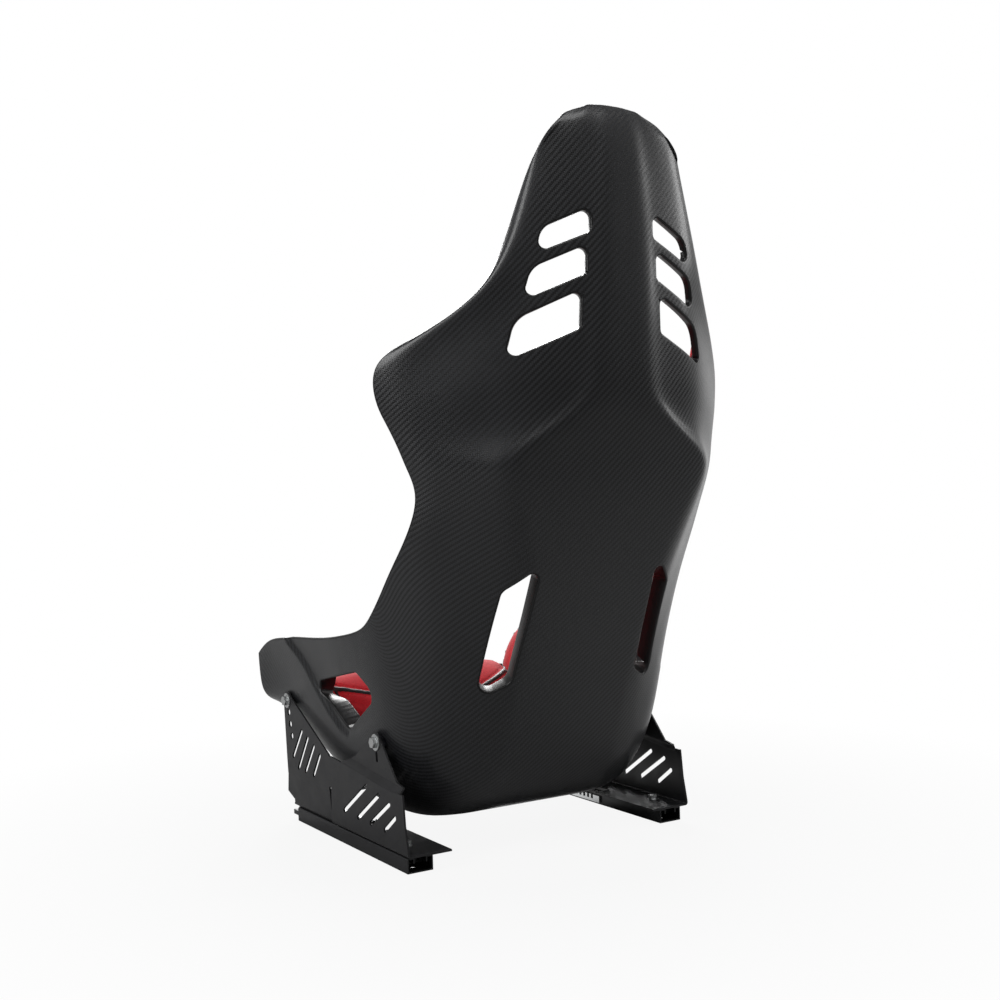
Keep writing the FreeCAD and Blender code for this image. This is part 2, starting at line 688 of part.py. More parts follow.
def flange_bolts():
    """Bolts and washers that join brackets and upper rails."""
    bolts, washers = [], []
    x = RAIL_SPACING / 2
    seat = UPPER_TOP + PLATE
    for y in FLANGE_BOLT_Y:
        ring = cylinder(RAIL_WASHER_D / 2, V(x, y, seat), V(x, y, seat + WASHER_T))
        hole = cylinder((BOLT_D + BOLT_CLEAR) / 2, V(x, y, seat - 1), V(x, y, seat + PLATE))
        washers.append(ring.cut(hole))
        head = hexagon(BOLT_HEAD_AF, V(x, y, seat + WASHER_T), BOLT_HEAD_H, V(0, 0, 1))
        end = RAIL_T + ROLLER_D + 2 * RUN_GAP
        bolts.append(head.fuse(cylinder(BOLT_D / 2, V(x, y, end), V(x, y, seat + WASHER_T))))
    return group(bolts + [mirrored(b) for b in bolts]), group(washers + [mirrored(w) for w in washers])


def cage_span():
    """Length of a cage and its rear end, under the middle of both rails."""
    length = BALL_PITCH * (BALLS_PER_ROW - 1) + 14
    middle = RAIL_FRONT + RAIL_LENGTH / 2 - UPPER_AHEAD / 2
    return middle - length / 2, middle + length / 2


def cage_places():
    """Places of balls and rollers along the rail."""
    y0, y1 = cage_span()
    middle = (y0 + y1) / 2
    first = middle - BALL_PITCH * (BALLS_PER_ROW - 1) / 2
    return [first + BALL_PITCH * i for i in range(BALLS_PER_ROW)]


def make_cages():
    """Left ball strips, balls, roller cage and rollers."""
    x = RAIL_SPACING / 2
    y0, y1 = cage_span()
    ball_z = RAIL_H - RAIL_T - RUN_GAP - BALL_D / 2
    inner = LIP_GAP / 2 + RAIL_T
    ball_x = (inner + RAIL_W / 2 - RAIL_T) / 2
    strip_w = RAIL_W / 2 - RAIL_T - inner - 0.6
    strips, balls = [], []
    for side in (-1, 1):
        cx = x + side * ball_x
        strip = box((cx - strip_w / 2, y0, ball_z - CAGE_T / 2), (cx + strip_w / 2, y1, ball_z + CAGE_T / 2))
        for y in cage_places():
            strip = strip.cut(Part.makeSphere(BALL_D / 2 + 0.1, V(cx, y, ball_z)))
            balls.append(Part.makeSphere(BALL_D / 2, V(cx, y, ball_z)))
        strips.append(strip)
    roller_z = RAIL_T + RUN_GAP + ROLLER_D / 2
    cage_w = ROLLER_W / 2 + 3
    plate = box((x - cage_w, y0, roller_z - CAGE_T / 2), (x + cage_w, y1, roller_z + CAGE_T / 2))
    rollers = []
    for y in cage_places()[::2]:
        half_w, half_d = ROLLER_W / 2 + 0.2, ROLLER_D / 2 + 0.2
        window = box((x - half_w, y - half_d, 0), (x + half_w, y + half_d, RAIL_H / 2))
        plate = plate.cut(window)
        start, end = V(x - ROLLER_W / 2, y, roller_z), V(x + ROLLER_W / 2, y, roller_z)
        rollers.append(cylinder(ROLLER_D / 2, start, end))
    return {"ball_strips": group(strips), "rail_balls": group(balls),
            "roller_cage": plate, "rail_rollers": group(rollers)}


def make_rack():
    """Notched strip on the inner wall of the lower rail."""
    x1 = RAIL_SPACING / 2 - RAIL_W / 2
    strip = box((x1 - RACK_T, RACK_Y[0], RACK_Z[0]), (x1, RACK_Y[1], RACK_Z[1]))
    count = int((RACK_Y[1] - RACK_Y[0] - NOTCH_W - 4) / NOTCH_PITCH)
    first = TOOTH_Y - NOTCH_PITCH * int((TOOTH_Y - RACK_Y[0] - NOTCH_W) / NOTCH_PITCH)
    cutters = []
    for i in range(count):
        y = first + i * NOTCH_PITCH
        if y + NOTCH_W / 2 < RACK_Y[1] - 1:
            cutters.append(box((x1 - RACK_T - 1, y - NOTCH_W / 2, RACK_Z[1] - NOTCH_DEPTH),
                               (x1 + 1, y + NOTCH_W / 2, RACK_Z[1] + 1)))
    return strip.cut(cutters)


def lever_faces():
    """Inner and outer X of the left lock lever."""
    outer = RAIL_SPACING / 2 - RAIL_W / 2 - RACK_T - 0.9 - LUG_T - 0.5
    return outer - LEVER_T, outer


def make_lever():
    """Left lock lever: plate, tooth over the rack and socket for the bar."""
    x0, x1 = lever_faces()
    z = LEVER_Z - 1
    socket_y = TOOTH_Y - 88
    plate = box((x0, socket_y, z - LEVER_H / 2), (x1, PIVOT_Y, z + LEVER_H / 2))
    eye = cylinder(LEVER_H / 2 + 1.5, V(x0, PIVOT_Y, z), V(x1, PIVOT_Y, z))
    rack_x = RAIL_SPACING / 2 - RAIL_W / 2
    tooth_z = RACK_Z[1] + LOCK_GAP
    tooth = box((x1 - 0.5, TOOTH_Y - TOOTH_W / 2, tooth_z), (rack_x - 0.4, TOOTH_Y + TOOTH_W / 2, z + 3))
    cx = (x0 + x1) / 2
    socket = cylinder(SOCKET_D / 2, V(cx, socket_y - SOCKET_L, z), V(cx, socket_y + 6, z))
    body = plate.fuse([eye, tooth, socket]).removeSplitter()
    body = body.cut(cylinder(BAR_D / 2, V(cx, socket_y - SOCKET_L - 1, z), V(cx, socket_y, z)))
    return body.cut(cylinder(PIVOT_D / 2 + PIVOT_GAP, V(x0 - 1, PIVOT_Y, z), V(x1 + 1, PIVOT_Y, z)))


def make_pins():
    """Rivets that carry the lock levers."""
    x0, x1 = lever_faces()
    z = LEVER_Z - 1
    end = x1 + 0.5 + LUG_T
    head_x = x0 - SPRING_ROOM
    pin = cylinder(PIVOT_D / 2, V(head_x, PIVOT_Y, z), V(end, PIVOT_Y, z))
    head = cylinder(PIVOT_D / 2 + 3, V(head_x - 2, PIVOT_Y, z), V(head_x, PIVOT_Y, z))
    body = pin.fuse(head)
    return group([body, mirrored(body)])


def make_springs():
    """Return springs, drawn as a closed coil on each rivet with one leg."""
    x0, _ = lever_faces()
    z = LEVER_Z - 1
    inner_r = PIVOT_D / 2 + 0.2
    x_a = x0 - SPRING_ROOM + 0.2
    x_b = x0 - 0.6
    coil = cylinder(inner_r + SPRING_WIRE, V(x_a, PIVOT_Y, z), V(x_b, PIVOT_Y, z))
    leg_x = (x_a + x_b) / 2
    leg_z = z + inner_r + SPRING_WIRE / 2
    leg = cylinder(SPRING_WIRE / 2, V(leg_x, PIVOT_Y, leg_z), V(leg_x, PIVOT_Y - SPRING_LEG, leg_z))
    body = coil.fuse(leg).cut(cylinder(inner_r, V(x_a - 1, PIVOT_Y, z), V(x_b + 1, PIVOT_Y, z)))
    return group([body, mirrored(body)])


def make_release_bar():
    """Tube that joins both levers across the front of the seat."""
    x0, x1 = lever_faces()
    cx = (x0 + x1) / 2
    z = LEVER_Z - 1
    socket_y = TOOTH_Y - 88
    points = [V(cx, socket_y, z), V(cx, BAR_FRONT, z), V(-cx, BAR_FRONT, z), V(-cx, socket_y, z)]
    path = Part.Wire(turned_path(points, [BAR_BEND, BAR_BEND]))
    ring = Part.Wire(Part.makeCircle(BAR_D / 2, points[0], V(0, -1, 0)))
    return path.makePipeShell([ring], True, False)


def both(pieces, name, solid):
    """Add a left piece and its mirror image."""
    pieces[name + "_left"] = solid
    pieces[name + "_right"] = mirrored(solid)


def make_pieces():
    """Every node by name."""
    net = shell_net()
    pieces = {"shell": make_shell(net), "shell_inserts": make_inserts()}
    pieces.update(make_pads(net))
    pieces["side_bolts"], pieces["side_washers"] = side_bolts()
    pieces["rail_bolts"], pieces["rail_washers"] = flange_bolts()
    both(pieces, "side_bracket", make_bracket())
    both(pieces, "lower_rail", make_lower_rail())
    both(pieces, "upper_rail", make_upper_rail())
    both(pieces, "lock_rack", make_rack())
    both(pieces, "lock_lever", make_lever())
    for name, solid in make_cages().items():
        both(pieces, name, solid)
    pieces["lever_rivets"] = make_pins()
    pieces["release_springs"] = make_springs()
    pieces["release_bar"] = make_release_bar()
    return pieces


def write_parts(pieces):
    """Put the origin at the middle of the depth and write one STEP a piece."""
    os.makedirs("parts", exist_ok=True)
    depth = pieces["shell"].BoundBox
    shift = -(depth.YMin + depth.YMax) / 2
    print("moved along Y by", round(shift, 3))
    for name, shape in pieces.items():
        placed = shape.copy()
        placed.translate(V(0, shift, 0))
        b = placed.BoundBox
        print(name, len(placed.Solids), placed.isValid(), round(placed.Volume),
              [round(v, 1) for v in (b.XMin, b.XMax, b.YMin, b.YMax, b.ZMin, b.ZMax)])
        placed.exportStep("parts/" + name + ".step")


if __name__ == "__main__":
    write_parts(make_pieces())
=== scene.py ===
"""Fixed-back racing seat on side brackets and floor rails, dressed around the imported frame.

Metres in the row frame: +Z up, the seat faces -Y and its left side is +X.
Sizes in the tables are millimetres.
"""
import json
import math
from collections import namedtuple

import bmesh
import bpy
from bpy.props import FloatProperty, FloatVectorProperty, IntProperty, PointerProperty
from mathutils import Matrix, Vector
from mathutils.bvhtree import BVHTree
from mathutils.kdtree import KDTree


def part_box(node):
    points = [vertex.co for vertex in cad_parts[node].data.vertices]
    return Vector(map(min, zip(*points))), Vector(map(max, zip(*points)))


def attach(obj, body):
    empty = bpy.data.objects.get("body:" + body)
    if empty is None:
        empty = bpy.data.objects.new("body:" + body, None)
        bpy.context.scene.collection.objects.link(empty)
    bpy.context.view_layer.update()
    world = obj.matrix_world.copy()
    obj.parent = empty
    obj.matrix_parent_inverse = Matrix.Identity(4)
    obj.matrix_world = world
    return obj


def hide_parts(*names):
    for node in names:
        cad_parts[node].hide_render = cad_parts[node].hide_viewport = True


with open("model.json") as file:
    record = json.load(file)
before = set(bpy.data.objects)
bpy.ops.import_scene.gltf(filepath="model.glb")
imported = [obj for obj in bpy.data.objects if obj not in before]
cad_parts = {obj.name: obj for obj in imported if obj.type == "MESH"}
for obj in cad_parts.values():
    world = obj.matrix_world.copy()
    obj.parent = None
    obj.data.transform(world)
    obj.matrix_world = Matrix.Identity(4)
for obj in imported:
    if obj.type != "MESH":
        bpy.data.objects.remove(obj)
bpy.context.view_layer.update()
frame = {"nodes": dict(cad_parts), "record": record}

bl_info = {
    "name": "Racing seat",
    "version": (1, 0, 0),
    "blender": (4, 5, 0),
    "location": "View3D > Sidebar > Seat",
    "description": "Builds a laminate bucket seat with cushions, side brackets and sliding rails",
    "category": "Add Mesh",
}

MM = 0.001

# Lines of the shell, as cuts across it from the front lip along the pan and up
# the back to the top of the head: the middle point, the ridge's half width, how
# far the back bows in up to it, the ridge's height, the edge of the flat panel,
# the turn into the side, how far the side swells out, and the rim. A "d" is
# measured from the middle towards the rim.
Station = namedtuple("Station", "y z ridge bow step panel_x panel_d side_x side_d swell rim_x rim_y rim_z")
STATIONS = [
    Station(-346, 150, 90, 0, 0, 172, 4, 227, 16, 2, 239, -336, 240),
    Station(-316, 139, 90, 0, 0, 170, 4, 220, 24, -1, 240, -296, 263),
    Station(-255, 112, 90, 0, 0, 168, 4, 211, 28, -4, 241, -236, 270),
    Station(-180, 74, 90, 0, 0, 165, 4, 210, 35, -4, 241, -166, 274),
    Station(-105, 44, 90, 0, 0, 162, 5, 209, 44, -6, 239, -100, 279),
    Station(-30, 33, 90, 0, 0, 158, 6, 206, 50, -6, 240, -35, 288),
    Station(50, 44, 88, 0, 0, 152, 8, 202, 58, -1, 237, 16, 298),
    Station(106, 86, 86, 0, 0, 139, 12, 188, 56, 1, 237, 43, 316),
    Station(134, 160, 84, 0, 0, 129, 16, 181, 58, 1, 234, 68, 344),
    Station(170, 256, 84, 0, 0, 127, 16, 181, 60, 1, 232, 97, 380),
    Station(223, 366, 88, 1, 1, 133, 21, 192, 72, 3, 228, 140, 424),
    Station(258, 462, 126, 6, 3, 161, 26, 201, 66, 3, 221, 160, 474),
    Station(271, 515, 158, 13, 6, 181, 40, 212, 75, 3, 237, 156.5, 509),
    Station(277, 549, 106, 5, 9, 152, 34, 216, 85, 3, 245, 153.5, 534),
    Station(284, 586, 54, 0, 9, 147, 32, 223, 95, 3, 258, 146, 566),
    Station(287, 612, 50, 0, 9, 146, 29, 228, 102, 3, 268, 141, 588),
    Station(291, 668, 46, 0, 9, 138, 28, 224, 106, 3, 274, 141, 636),
    Station(293, 716, 42, 0, 9, 128, 30, 200, 84, 3, 233, 174, 664),
    Station(294, 762, 40, 0, 9, 118, 30, 163, 60, 3, 180, 217, 697),
    Station(294, 812, 37, 0, 8, 108, 28, 138, 46, 3, 152, 235, 742),
    Station(293, 862, 34, 0, 8, 96, 24, 119, 36, 3, 132, 247, 808),
    Station(290, 908, 30, 0, 6, 85, 18, 103, 29, 3, 115, 258, 866),
    Station(284, 935, 26, 0, 4, 67, 13, 88, 22, 3, 103, 272, 897),
    Station(275, 945, 22, 0, 2, 46, 7, 69, 15, 3, 87, 273, 911),
]
MIDDLE = 7                 # index of the middle column of the net
LAY_STATION = 11           # the cloth is laid up and down from this station
RAIL_FRONT = -243.0        # front end of the lower rail in the tables' own frame

# Openings: corners as (x, z) from behind or (y, z) from the side, the radius of
# each corner, and how deep the laminate turns in all round
Opening = namedtuple("Opening", "corners radii depth")
VENTS = [
    Opening([(48, 815), (48, 786), (115, 759), (110, 788)], [8, 7, 8, 24], 9),
    Opening([(53, 770), (54, 736), (131, 703), (121, 741)], [8, 7, 8, 27], 9),
    Opening([(60, 716), (62, 670), (151, 632), (139, 681)], [8, 7, 8, 32], 9),
]
LUMBAR = Opening([(90, 384), (98, 235), (137, 216), (130, 353)], [9, 12, 13, 12], 20)
HIP = Opening([(-166, 213), (-20, 242), (24, 213), (-76, 157)], [10, 15, 15, 18], 26)
CORNER_CUTS = 9            # straight runs in each rounded corner
WELD = 1.2                 # vertices this near to an opening's edge are taken into it
EDGE_WELD = 0.4            # and two of its own vertices nearer than this become one
SKIN = 2.4                 # thickness of the laminate that turns in round an opening

# The side is pressed in behind this line, seen from the side as (y, z): it comes
# down from the rim, goes round the hip hole and dies out towards the back
CREASE = [(-232, 290), (-221, 268), (-194, 250), (-176, 233), (-163, 214), (-146, 196), (-126, 176),
          (-102, 158), (-78, 149), (-52, 156), (-22, 168), (10, 180), (46, 197)]
CREASE_DEPTH = [5.0, 5.0, 5.0, 5.0, 5.0, 5.0, 5.0, 4.5, 3.5, 2.5, 1.5, 0.6, 0.0]
CREASE_FADE = 150.0        # how far behind the line the pressed area runs out again
CREASE_BLUR = 2.0          # how far apart two runs of the line share their depths
CREASE_CUTS = 2            # cuts in each edge of the mesh near the line

# Boxes on one side that hold the mesh to work on, as low and high (|x|, y, z) in metres
Box = namedtuple("Box", "low high")
CREASE_FACES = Box((0.15, -0.27, 0.12), (1.0, 0.13, 0.32))
CREASE_POINTS = Box((0.15, -0.30, 0.10), (1.0, 0.20, 0.33))
HIP_FACES = Box((0.12, -0.20, 0.10), (1.0, 0.10, 0.30))
BACK_MARGIN = 30.0         # how far round an opening in the back its faces are cut
BACK_FROM = 50.0           # the back's faces lie behind this y

# Piped panel seams and sewn channels of a cover, as planes (|x|, y, z) . way = place, the
# way that its sewn side faces, and how far out from the middle its channels run
Sewing = namedtuple("Sewing", "front reach seams channels")
SEWING = {
    "knee_cushion": Sewing((0, 0.8, 0.6), 1000, [((-0.3, 0, 1), 142.4)], []),
    "seat_cushion": Sewing((0, 0, 1), 104, [((1, 0, 0), 104)], [((0, 1, 0), y) for y in (-92, -34, 24)]),
    "back_cushion": Sewing((0, -1, 0.3), 1000, [((1, 0, 0.12), 118)],
                           [((0, 0, 1), z) for z in (240, 305, 370, 435, 500)]),
}
PLAIN = Sewing((0, 0, 1), 1000, [], [])
FACING = 0.35              # cosine up to which a point counts as on the sewn side
MARK_STEP = 2.0            # distance of the points that mark the foam's edges
BORDER = 12.0              # channels end this far from the foam's edges
FAR = 100.0                # the distance that is written where no channel runs
WELT_CROWN = 0.8           # height of a welt, as a share of its half width
TUCK = 1.2                 # depth of the tuck beside a welt,
TUCK_OUT = 1.5             # its distance from the welt
TUCK_WIDTH = 2.0           # and its width
CHANNEL_WIDTH = 5.0        # half width of a channel where it has run out to a third

PADS = ["seat_cushion", "knee_cushion", "back_cushion", "head_cushion", "thigh_pad_left", "thigh_pad_right",
        "hip_pad_left", "hip_pad_right", "shoulder_pad_left", "shoulder_pad_right"]

# Hardware whose sharp edges are broken, by this many millimetres
EASED = {"side_bracket_left": 0.5, "side_bracket_right": 0.5, "side_bolts": 0.6, "side_washers": 0.3,
         "rail_bolts": 0.5, "rail_washers": 0.3, "upper_rail_left": 0.3, "upper_rail_right": 0.3,
         "lower_rail_left": 0.3, "lower_rail_right": 0.3, "release_bar": 0.3}
SHARP = 40.0               # degrees from which an edge of the hardware is broken
CRISP = 12.0               # and degrees from which its shading stays crisp

# Lamps, all aimed at the seat's middle: place, width and height in metres
Lamp = namedtuple("Lamp", "place width height")
LAMPS = {
    "key": Lamp((2.3, 0.2, 1.8), 1.2, 1.4),
    "over": Lamp((-0.1, 1.4, 2.7), 1.2, 0.9),
    "ridge": Lamp((-2.5, 0.75, 1.6), 0.5, 1.1),
    "front": Lamp((-1.3, -2.5, 1.9), 1.8, 1.4),
}
SEAT_MIDDLE = (0, 0.05, 0.5)
AHEAD = (-0.53, -0.85, 0.0)    # reflections see the white backdrop only on this side of the seat


def linear(hex_code):
    """Linear colour from an sRGB hex value."""
    values = [int(hex_code[i:i + 2], 16) / 255 for i in (0, 2, 4)]
    return [v / 12.92 if v <= 0.04045 else ((v + 0.055) / 1.055) ** 2.4 for v in values]


def add(tree, kind, inputs=None, **settings):
    """Add a shader node: inputs are constants or the sockets they are linked from."""
    node = tree.nodes.new("ShaderNode" + kind)
    for name, value in settings.items():
        setattr(node, name, value)
    for name, value in (inputs or {}).items():
        if isinstance(value, bpy.types.NodeSocket):
            tree.links.new(value, node.inputs[name])
        else:
            if node.inputs[name].type == "RGBA" and len(value) == 3:
                value = [*value, 1.0]
            node.inputs[name].default_value = value
    return node


def new_material(name):
    """Empty node material."""
    material = bpy.data.materials.new(name)
    material.use_nodes = True
    material.node_tree.nodes.clear()
    return material, material.node_tree


def surface_output(tree, shader):
    """Link a shader to the material's output."""
    add(tree, "OutputMaterial", {"Surface": shader.outputs[0]})


def backdrop_share(tree, way):
    """How much of the white backdrop a ray sees: camera rays all, reflections only ahead of the seat."""
    unit = add(tree, "VectorMath", {0: way}, operation="NORMALIZE")
    ahead = add(tree, "VectorMath", {0: unit.outputs[0], 1: AHEAD}, operation="DOT_PRODUCT")
    side = add(tree, "MapRange", {0: ahead.outputs["Value"], 1: 0.5, 2: 0.9})
    rays = add(tree, "LightPath")
    mirrored = add(tree, "Math", {0: side.outputs[0], 1: rays.outputs["Is Glossy Ray"]},
                   operation="MULTIPLY")
    seen = add(tree, "Math", {0: mirrored.outputs[0], 1: rays.outputs["Is Camera Ray"]},
               operation="MAXIMUM")
    return add(tree, "Math", {0: seen.outputs[0], 1: rays.outputs["Is Transmission Ray"]},
               operation="MAXIMUM").outputs[0]


def carbon_twill(colours, sizes):
    """Satin lacquered carbon cloth, 2x2 twill laid in a mould: near black, its floats catch the light, and
    the tows up the seat are painted lighter than those across it as painted sheen.
    """
    material, tree = new_material("carbon_twill_satin_lacquer")
    uv = add(tree, "UVMap", uv_map="lay")
    tow = 1 / sizes.tow
    scaled = add(tree, "VectorMath", {0: uv.outputs[0], 1: (tow, tow, tow)}, operation="MULTIPLY")
    parts = add(tree, "SeparateXYZ", {0: scaled.outputs[0]})
    across = add(tree, "Math", {0: parts.outputs[0]}, operation="FLOOR")
    along = add(tree, "Math", {0: parts.outputs[1]}, operation="FLOOR")
    both = add(tree, "Math", {0: across.outputs[0], 1: along.outputs[0]}, operation="ADD")
    turn = add(tree, "Math", {0: both.outputs[0], 1: 4.0, 2: 0.0}, operation="WRAP")
    warp_up = add(tree, "Math", {0: turn.outputs[0], 1: 1.5}, operation="LESS_THAN")
    # rounded crown of each tow, across its own width
    cross_x = add(tree, "Math", {0: parts.outputs[0], 1: 0.5}, operation="PINGPONG")
    cross_y = add(tree, "Math", {0: parts.outputs[1], 1: 0.5}, operation="PINGPONG")
    crown = add(tree, "Mix", {0: warp_up.outputs[0], 2: cross_y.outputs[0], 3: cross_x.outputs[0]},
                data_type="FLOAT")
    level = add(tree, "Math", {0: crown.outputs[0], 1: 0.6}, operation="POWER")
    cloudy = add(tree, "TexNoise", {"Vector": uv.outputs[0], "Scale": 14.0, "Detail": 2.0})
    # painted sheen: tows up the seat take the lighter colour and tows across it the darker, standing in for
    # how the light falls on their floats
    tint = add(tree, "Mix", {
        0: warp_up.outputs[0], 6: list(colours.carbon_weft_painted_shade), 7: list(colours.carbon_warp_painted_sheen)}, data_type="RGBA")
    shade = add(tree, "MapRange", {0: cloudy.outputs[0], 1: 0.3, 2: 0.7, 3: 0.9, 4: 1.08})
    colour = add(tree, "Mix", {0: 1.0, 6: tint.outputs[2], 7: shade.outputs[0]},
                 data_type="RGBA", blend_type="MULTIPLY")
    # fibres shine across their own length, so floats of warp and weft light up from different sides
    fibre = add(tree, "Tangent", direction_type="UV_MAP", uv_map="lay")
    turned = add(tree, "MapRange", {0: warp_up.outputs[0], 3: 0.0, 4: 0.25})
    rough = add(tree, "MapRange", {0: cloudy.outputs[0], 1: 0.3, 2: 0.7, 3: 0.42, 4: 0.48})
    bump = add(tree, "Bump", {"Strength": 0.5, "Distance": 0.0003, "Height": level.outputs[0]})
    shader = add(tree, "BsdfPrincipled", {
        "Base Color": colour.outputs[2], "Roughness": rough.outputs[0], "Normal": bump.outputs[0],
        "Anisotropic": 0.6, "Anisotropic Rotation": turned.outputs[0], "Tangent": fibre.outputs[0],
        "Specular IOR Level": 0.5, "Coat Weight": 0.35, "Coat Roughness": 0.2})
    surface_output(tree, shader)
    return material


def resin_edge(colours):
    """Rolled, resin-rich edge of the laminate: the cloth doesn't show, and the lacquer is an even satin."""
    material, tree = new_material("resin_edge_satin")
    place = add(tree, "TexCoord").outputs["Object"]
    noise = add(tree, "TexNoise", {"Vector": place, "Scale": 90.0, "Detail": 3.0})
    rough = add(tree, "MapRange", {0: noise.outputs[0], 1: 0.3, 2: 0.7, 3: 0.38, 4: 0.46})
    bump = add(tree, "Bump", {"Strength": 0.15, "Distance": 0.0004, "Height": noise.outputs[0]})
    shader = add(tree, "BsdfPrincipled", {
        "Base Color": colours.resin, "Roughness": rough.outputs[0], "Normal": bump.outputs[0],
        "Specular IOR Level": 0.4, "Coat Weight": 0.12, "Coat Roughness": 0.2})
    surface_output(tree, shader)
    return material


def sewn_cover(name, base, dark, piping, sizes):
    """Polyester knit over foam, matt with fine rows of loops, with a black vinyl welt in its seams."""
    material, tree = new_material(name)
    place = add(tree, "TexCoord").outputs["Object"]
    # rows of loops, drawn three times coarser than the real knit so that they show
    cells = add(tree, "TexVoronoi", {"Vector": place, "Scale": 1 / sizes.loop},
                feature="F1", distance="CHEBYCHEV")
    soft = add(tree, "TexNoise", {"Vector": place, "Scale": 22.0, "Detail": 4.0})
    fuzz = add(tree, "TexNoise", {"Vector": place, "Scale": 900.0, "Detail": 2.0})
    tint = add(tree, "MapRange", {0: soft.outputs[0], 1: 0.3, 2: 0.7, 3: 0.0, 4: 1.0})
    colour = add(tree, "Mix", {0: tint.outputs[0], 6: dark, 7: base}, data_type="RGBA")
    holes = add(tree, "MapRange", {0: cells.outputs[0], 1: 0.2, 2: 0.75, 3: 1.0, 4: 0.78})
    knit = add(tree, "Mix", {0: 1.0, 6: colour.outputs[2], 7: holes.outputs[0]},
               data_type="RGBA", blend_type="MULTIPLY")
    # painted shade in the sewn channels, where the cover is drawn in
    channel = add(tree, "Attribute", attribute_name="channel")
    painted_channel_shade = add(tree, "MapRange", {0: channel.outputs["Fac"], 1: 0.0005, 2: 0.004, 3: 0.55, 4: 1.0})
    shaded = add(tree, "Mix", {0: 1.0, 6: knit.outputs[2], 7: painted_channel_shade.outputs[0]},
                 data_type="RGBA", blend_type="MULTIPLY")
    seam = add(tree, "Attribute", attribute_name="seam")
    half = sizes.piping / 2
    welt = add(tree, "MapRange", {
        0: seam.outputs["Fac"], 1: half - 0.2 * MM, 2: half + 0.4 * MM, 3: 1.0, 4: 0.0})
    both = add(tree, "Mix", {0: welt.outputs[0], 6: shaded.outputs[2], 7: piping}, data_type="RGBA")
    # a row of stitches three millimetres outside the welt, each up to two and a half long
    thread_dark = [0.35 * v for v in dark]
    row = add(tree, "Math", {0: seam.outputs["Fac"], 1: half + 3 * MM, 2: 0.4 * MM}, operation="COMPARE")
    steps = add(tree, "TexVoronoi", {"Vector": place, "Scale": 280.0})
    stitch = add(tree, "Math", {0: steps.outputs[0], 1: 0.34}, operation="LESS_THAN")
    sewn = add(tree, "Math", {0: row.outputs[0], 1: stitch.outputs[0]}, operation="MULTIPLY")
    thread = add(tree, "Mix", {0: sewn.outputs[0], 6: both.outputs[2], 7: thread_dark}, data_type="RGBA")
    height = add(tree, "Math", {0: fuzz.outputs[0], 1: 0.35, 2: holes.outputs[0]}, operation="MULTIPLY_ADD")
    bump = add(tree, "Bump", {"Strength": 0.4, "Distance": 0.0004, "Height": height.outputs[0]})
    rough = add(tree, "MapRange", {0: welt.outputs[0], 3: 0.85, 4: 0.45})
    shader = add(tree, "BsdfPrincipled", {
        "Base Color": thread.outputs[2], "Roughness": rough.outputs[0], "Normal": bump.outputs[0],
        "Specular IOR Level": 0.25, "Sheen Weight": 0.2, "Sheen Roughness": 0.5})
    surface_output(tree, shader)
    return material


def powder_coat(name, base, low, high):
    """Powder-coated steel: satin black with fine orange peel and a little lighter dust."""
    material, tree = new_material(name)
    place = add(tree, "TexCoord").outputs["Object"]
    peel = add(tree, "TexNoise", {"Vector": place, "Scale": 700.0, "Detail": 3.0})
    worn = add(tree, "TexNoise", {"Vector": place, "Scale": 35.0, "Detail": 6.0})
    dust = add(tree, "MapRange", {0: worn.outputs[0], 1: 0.35, 2: 0.75, 3: 0.0, 4: 1.0})
    lighter = [min(1.0, v * 1.7 + 0.004) for v in base]
    colour = add(tree, "Mix", {0: dust.outputs[0], 6: base, 7: lighter}, data_type="RGBA")
    rough = add(tree, "MapRange", {0: worn.outputs[0], 1: 0.3, 2: 0.7, 3: low, 4: high})
    bump = add(tree, "Bump", {"Strength": 0.12, "Distance": 0.0002, "Height": peel.outputs[0]})
    shader = add(tree, "BsdfPrincipled", {
        "Base Color": colour.outputs[2], "Roughness": rough.outputs[0], "Normal": bump.outputs[0]})
    surface_output(tree, shader)
    return material


def metal(name, base, low, high, scale):
    """Bare or plated metal: a fine noise, as its working left it, varies its tone and roughness."""
    material, tree = new_material(name)
    place = add(tree, "TexCoord").outputs["Object"]
    noise = add(tree, "TexNoise", {"Vector": place, "Scale": scale, "Detail": 4.0})
    rough = add(tree, "MapRange", {0: noise.outputs[0], 1: 0.3, 2: 0.7, 3: low, 4: high})
    darker = [v * 0.8 for v in base]
    colour = add(tree, "Mix", {0: noise.outputs[0], 6: darker, 7: base}, data_type="RGBA")
    bump = add(tree, "Bump", {"Strength": 0.1, "Distance": 0.0001, "Height": noise.outputs[0]})
    shader = add(tree, "BsdfPrincipled", {
        "Base Color": colour.outputs[2], "Roughness": rough.outputs[0], "Metallic": 1.0,
        "Normal": bump.outputs[0]})
    surface_output(tree, shader)
    return material


def nylon(base):
    """Moulded nylon of the ball and roller cages: pale, slightly glossy."""
    material, tree = new_material("nylon_moulded")
    place = add(tree, "TexCoord").outputs["Object"]
    noise = add(tree, "TexNoise", {"Vector": place, "Scale": 200.0, "Detail": 3.0})
    rough = add(tree, "MapRange", {0: noise.outputs[0], 1: 0.3, 2: 0.7, 3: 0.35, 4: 0.5})
    shader = add(tree, "BsdfPrincipled", {
        "Base Color": base, "Roughness": rough.outputs[0], "Subsurface Weight": 0.1,
        "Subsurface Radius": (2 * MM, 2 * MM, 2 * MM)})
    surface_output(tree, shader)
    return material


def row_shift():
    """How far the frame has moved the tables' points along Y."""
    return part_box("lower_rail_left")[0].y / MM - RAIL_FRONT


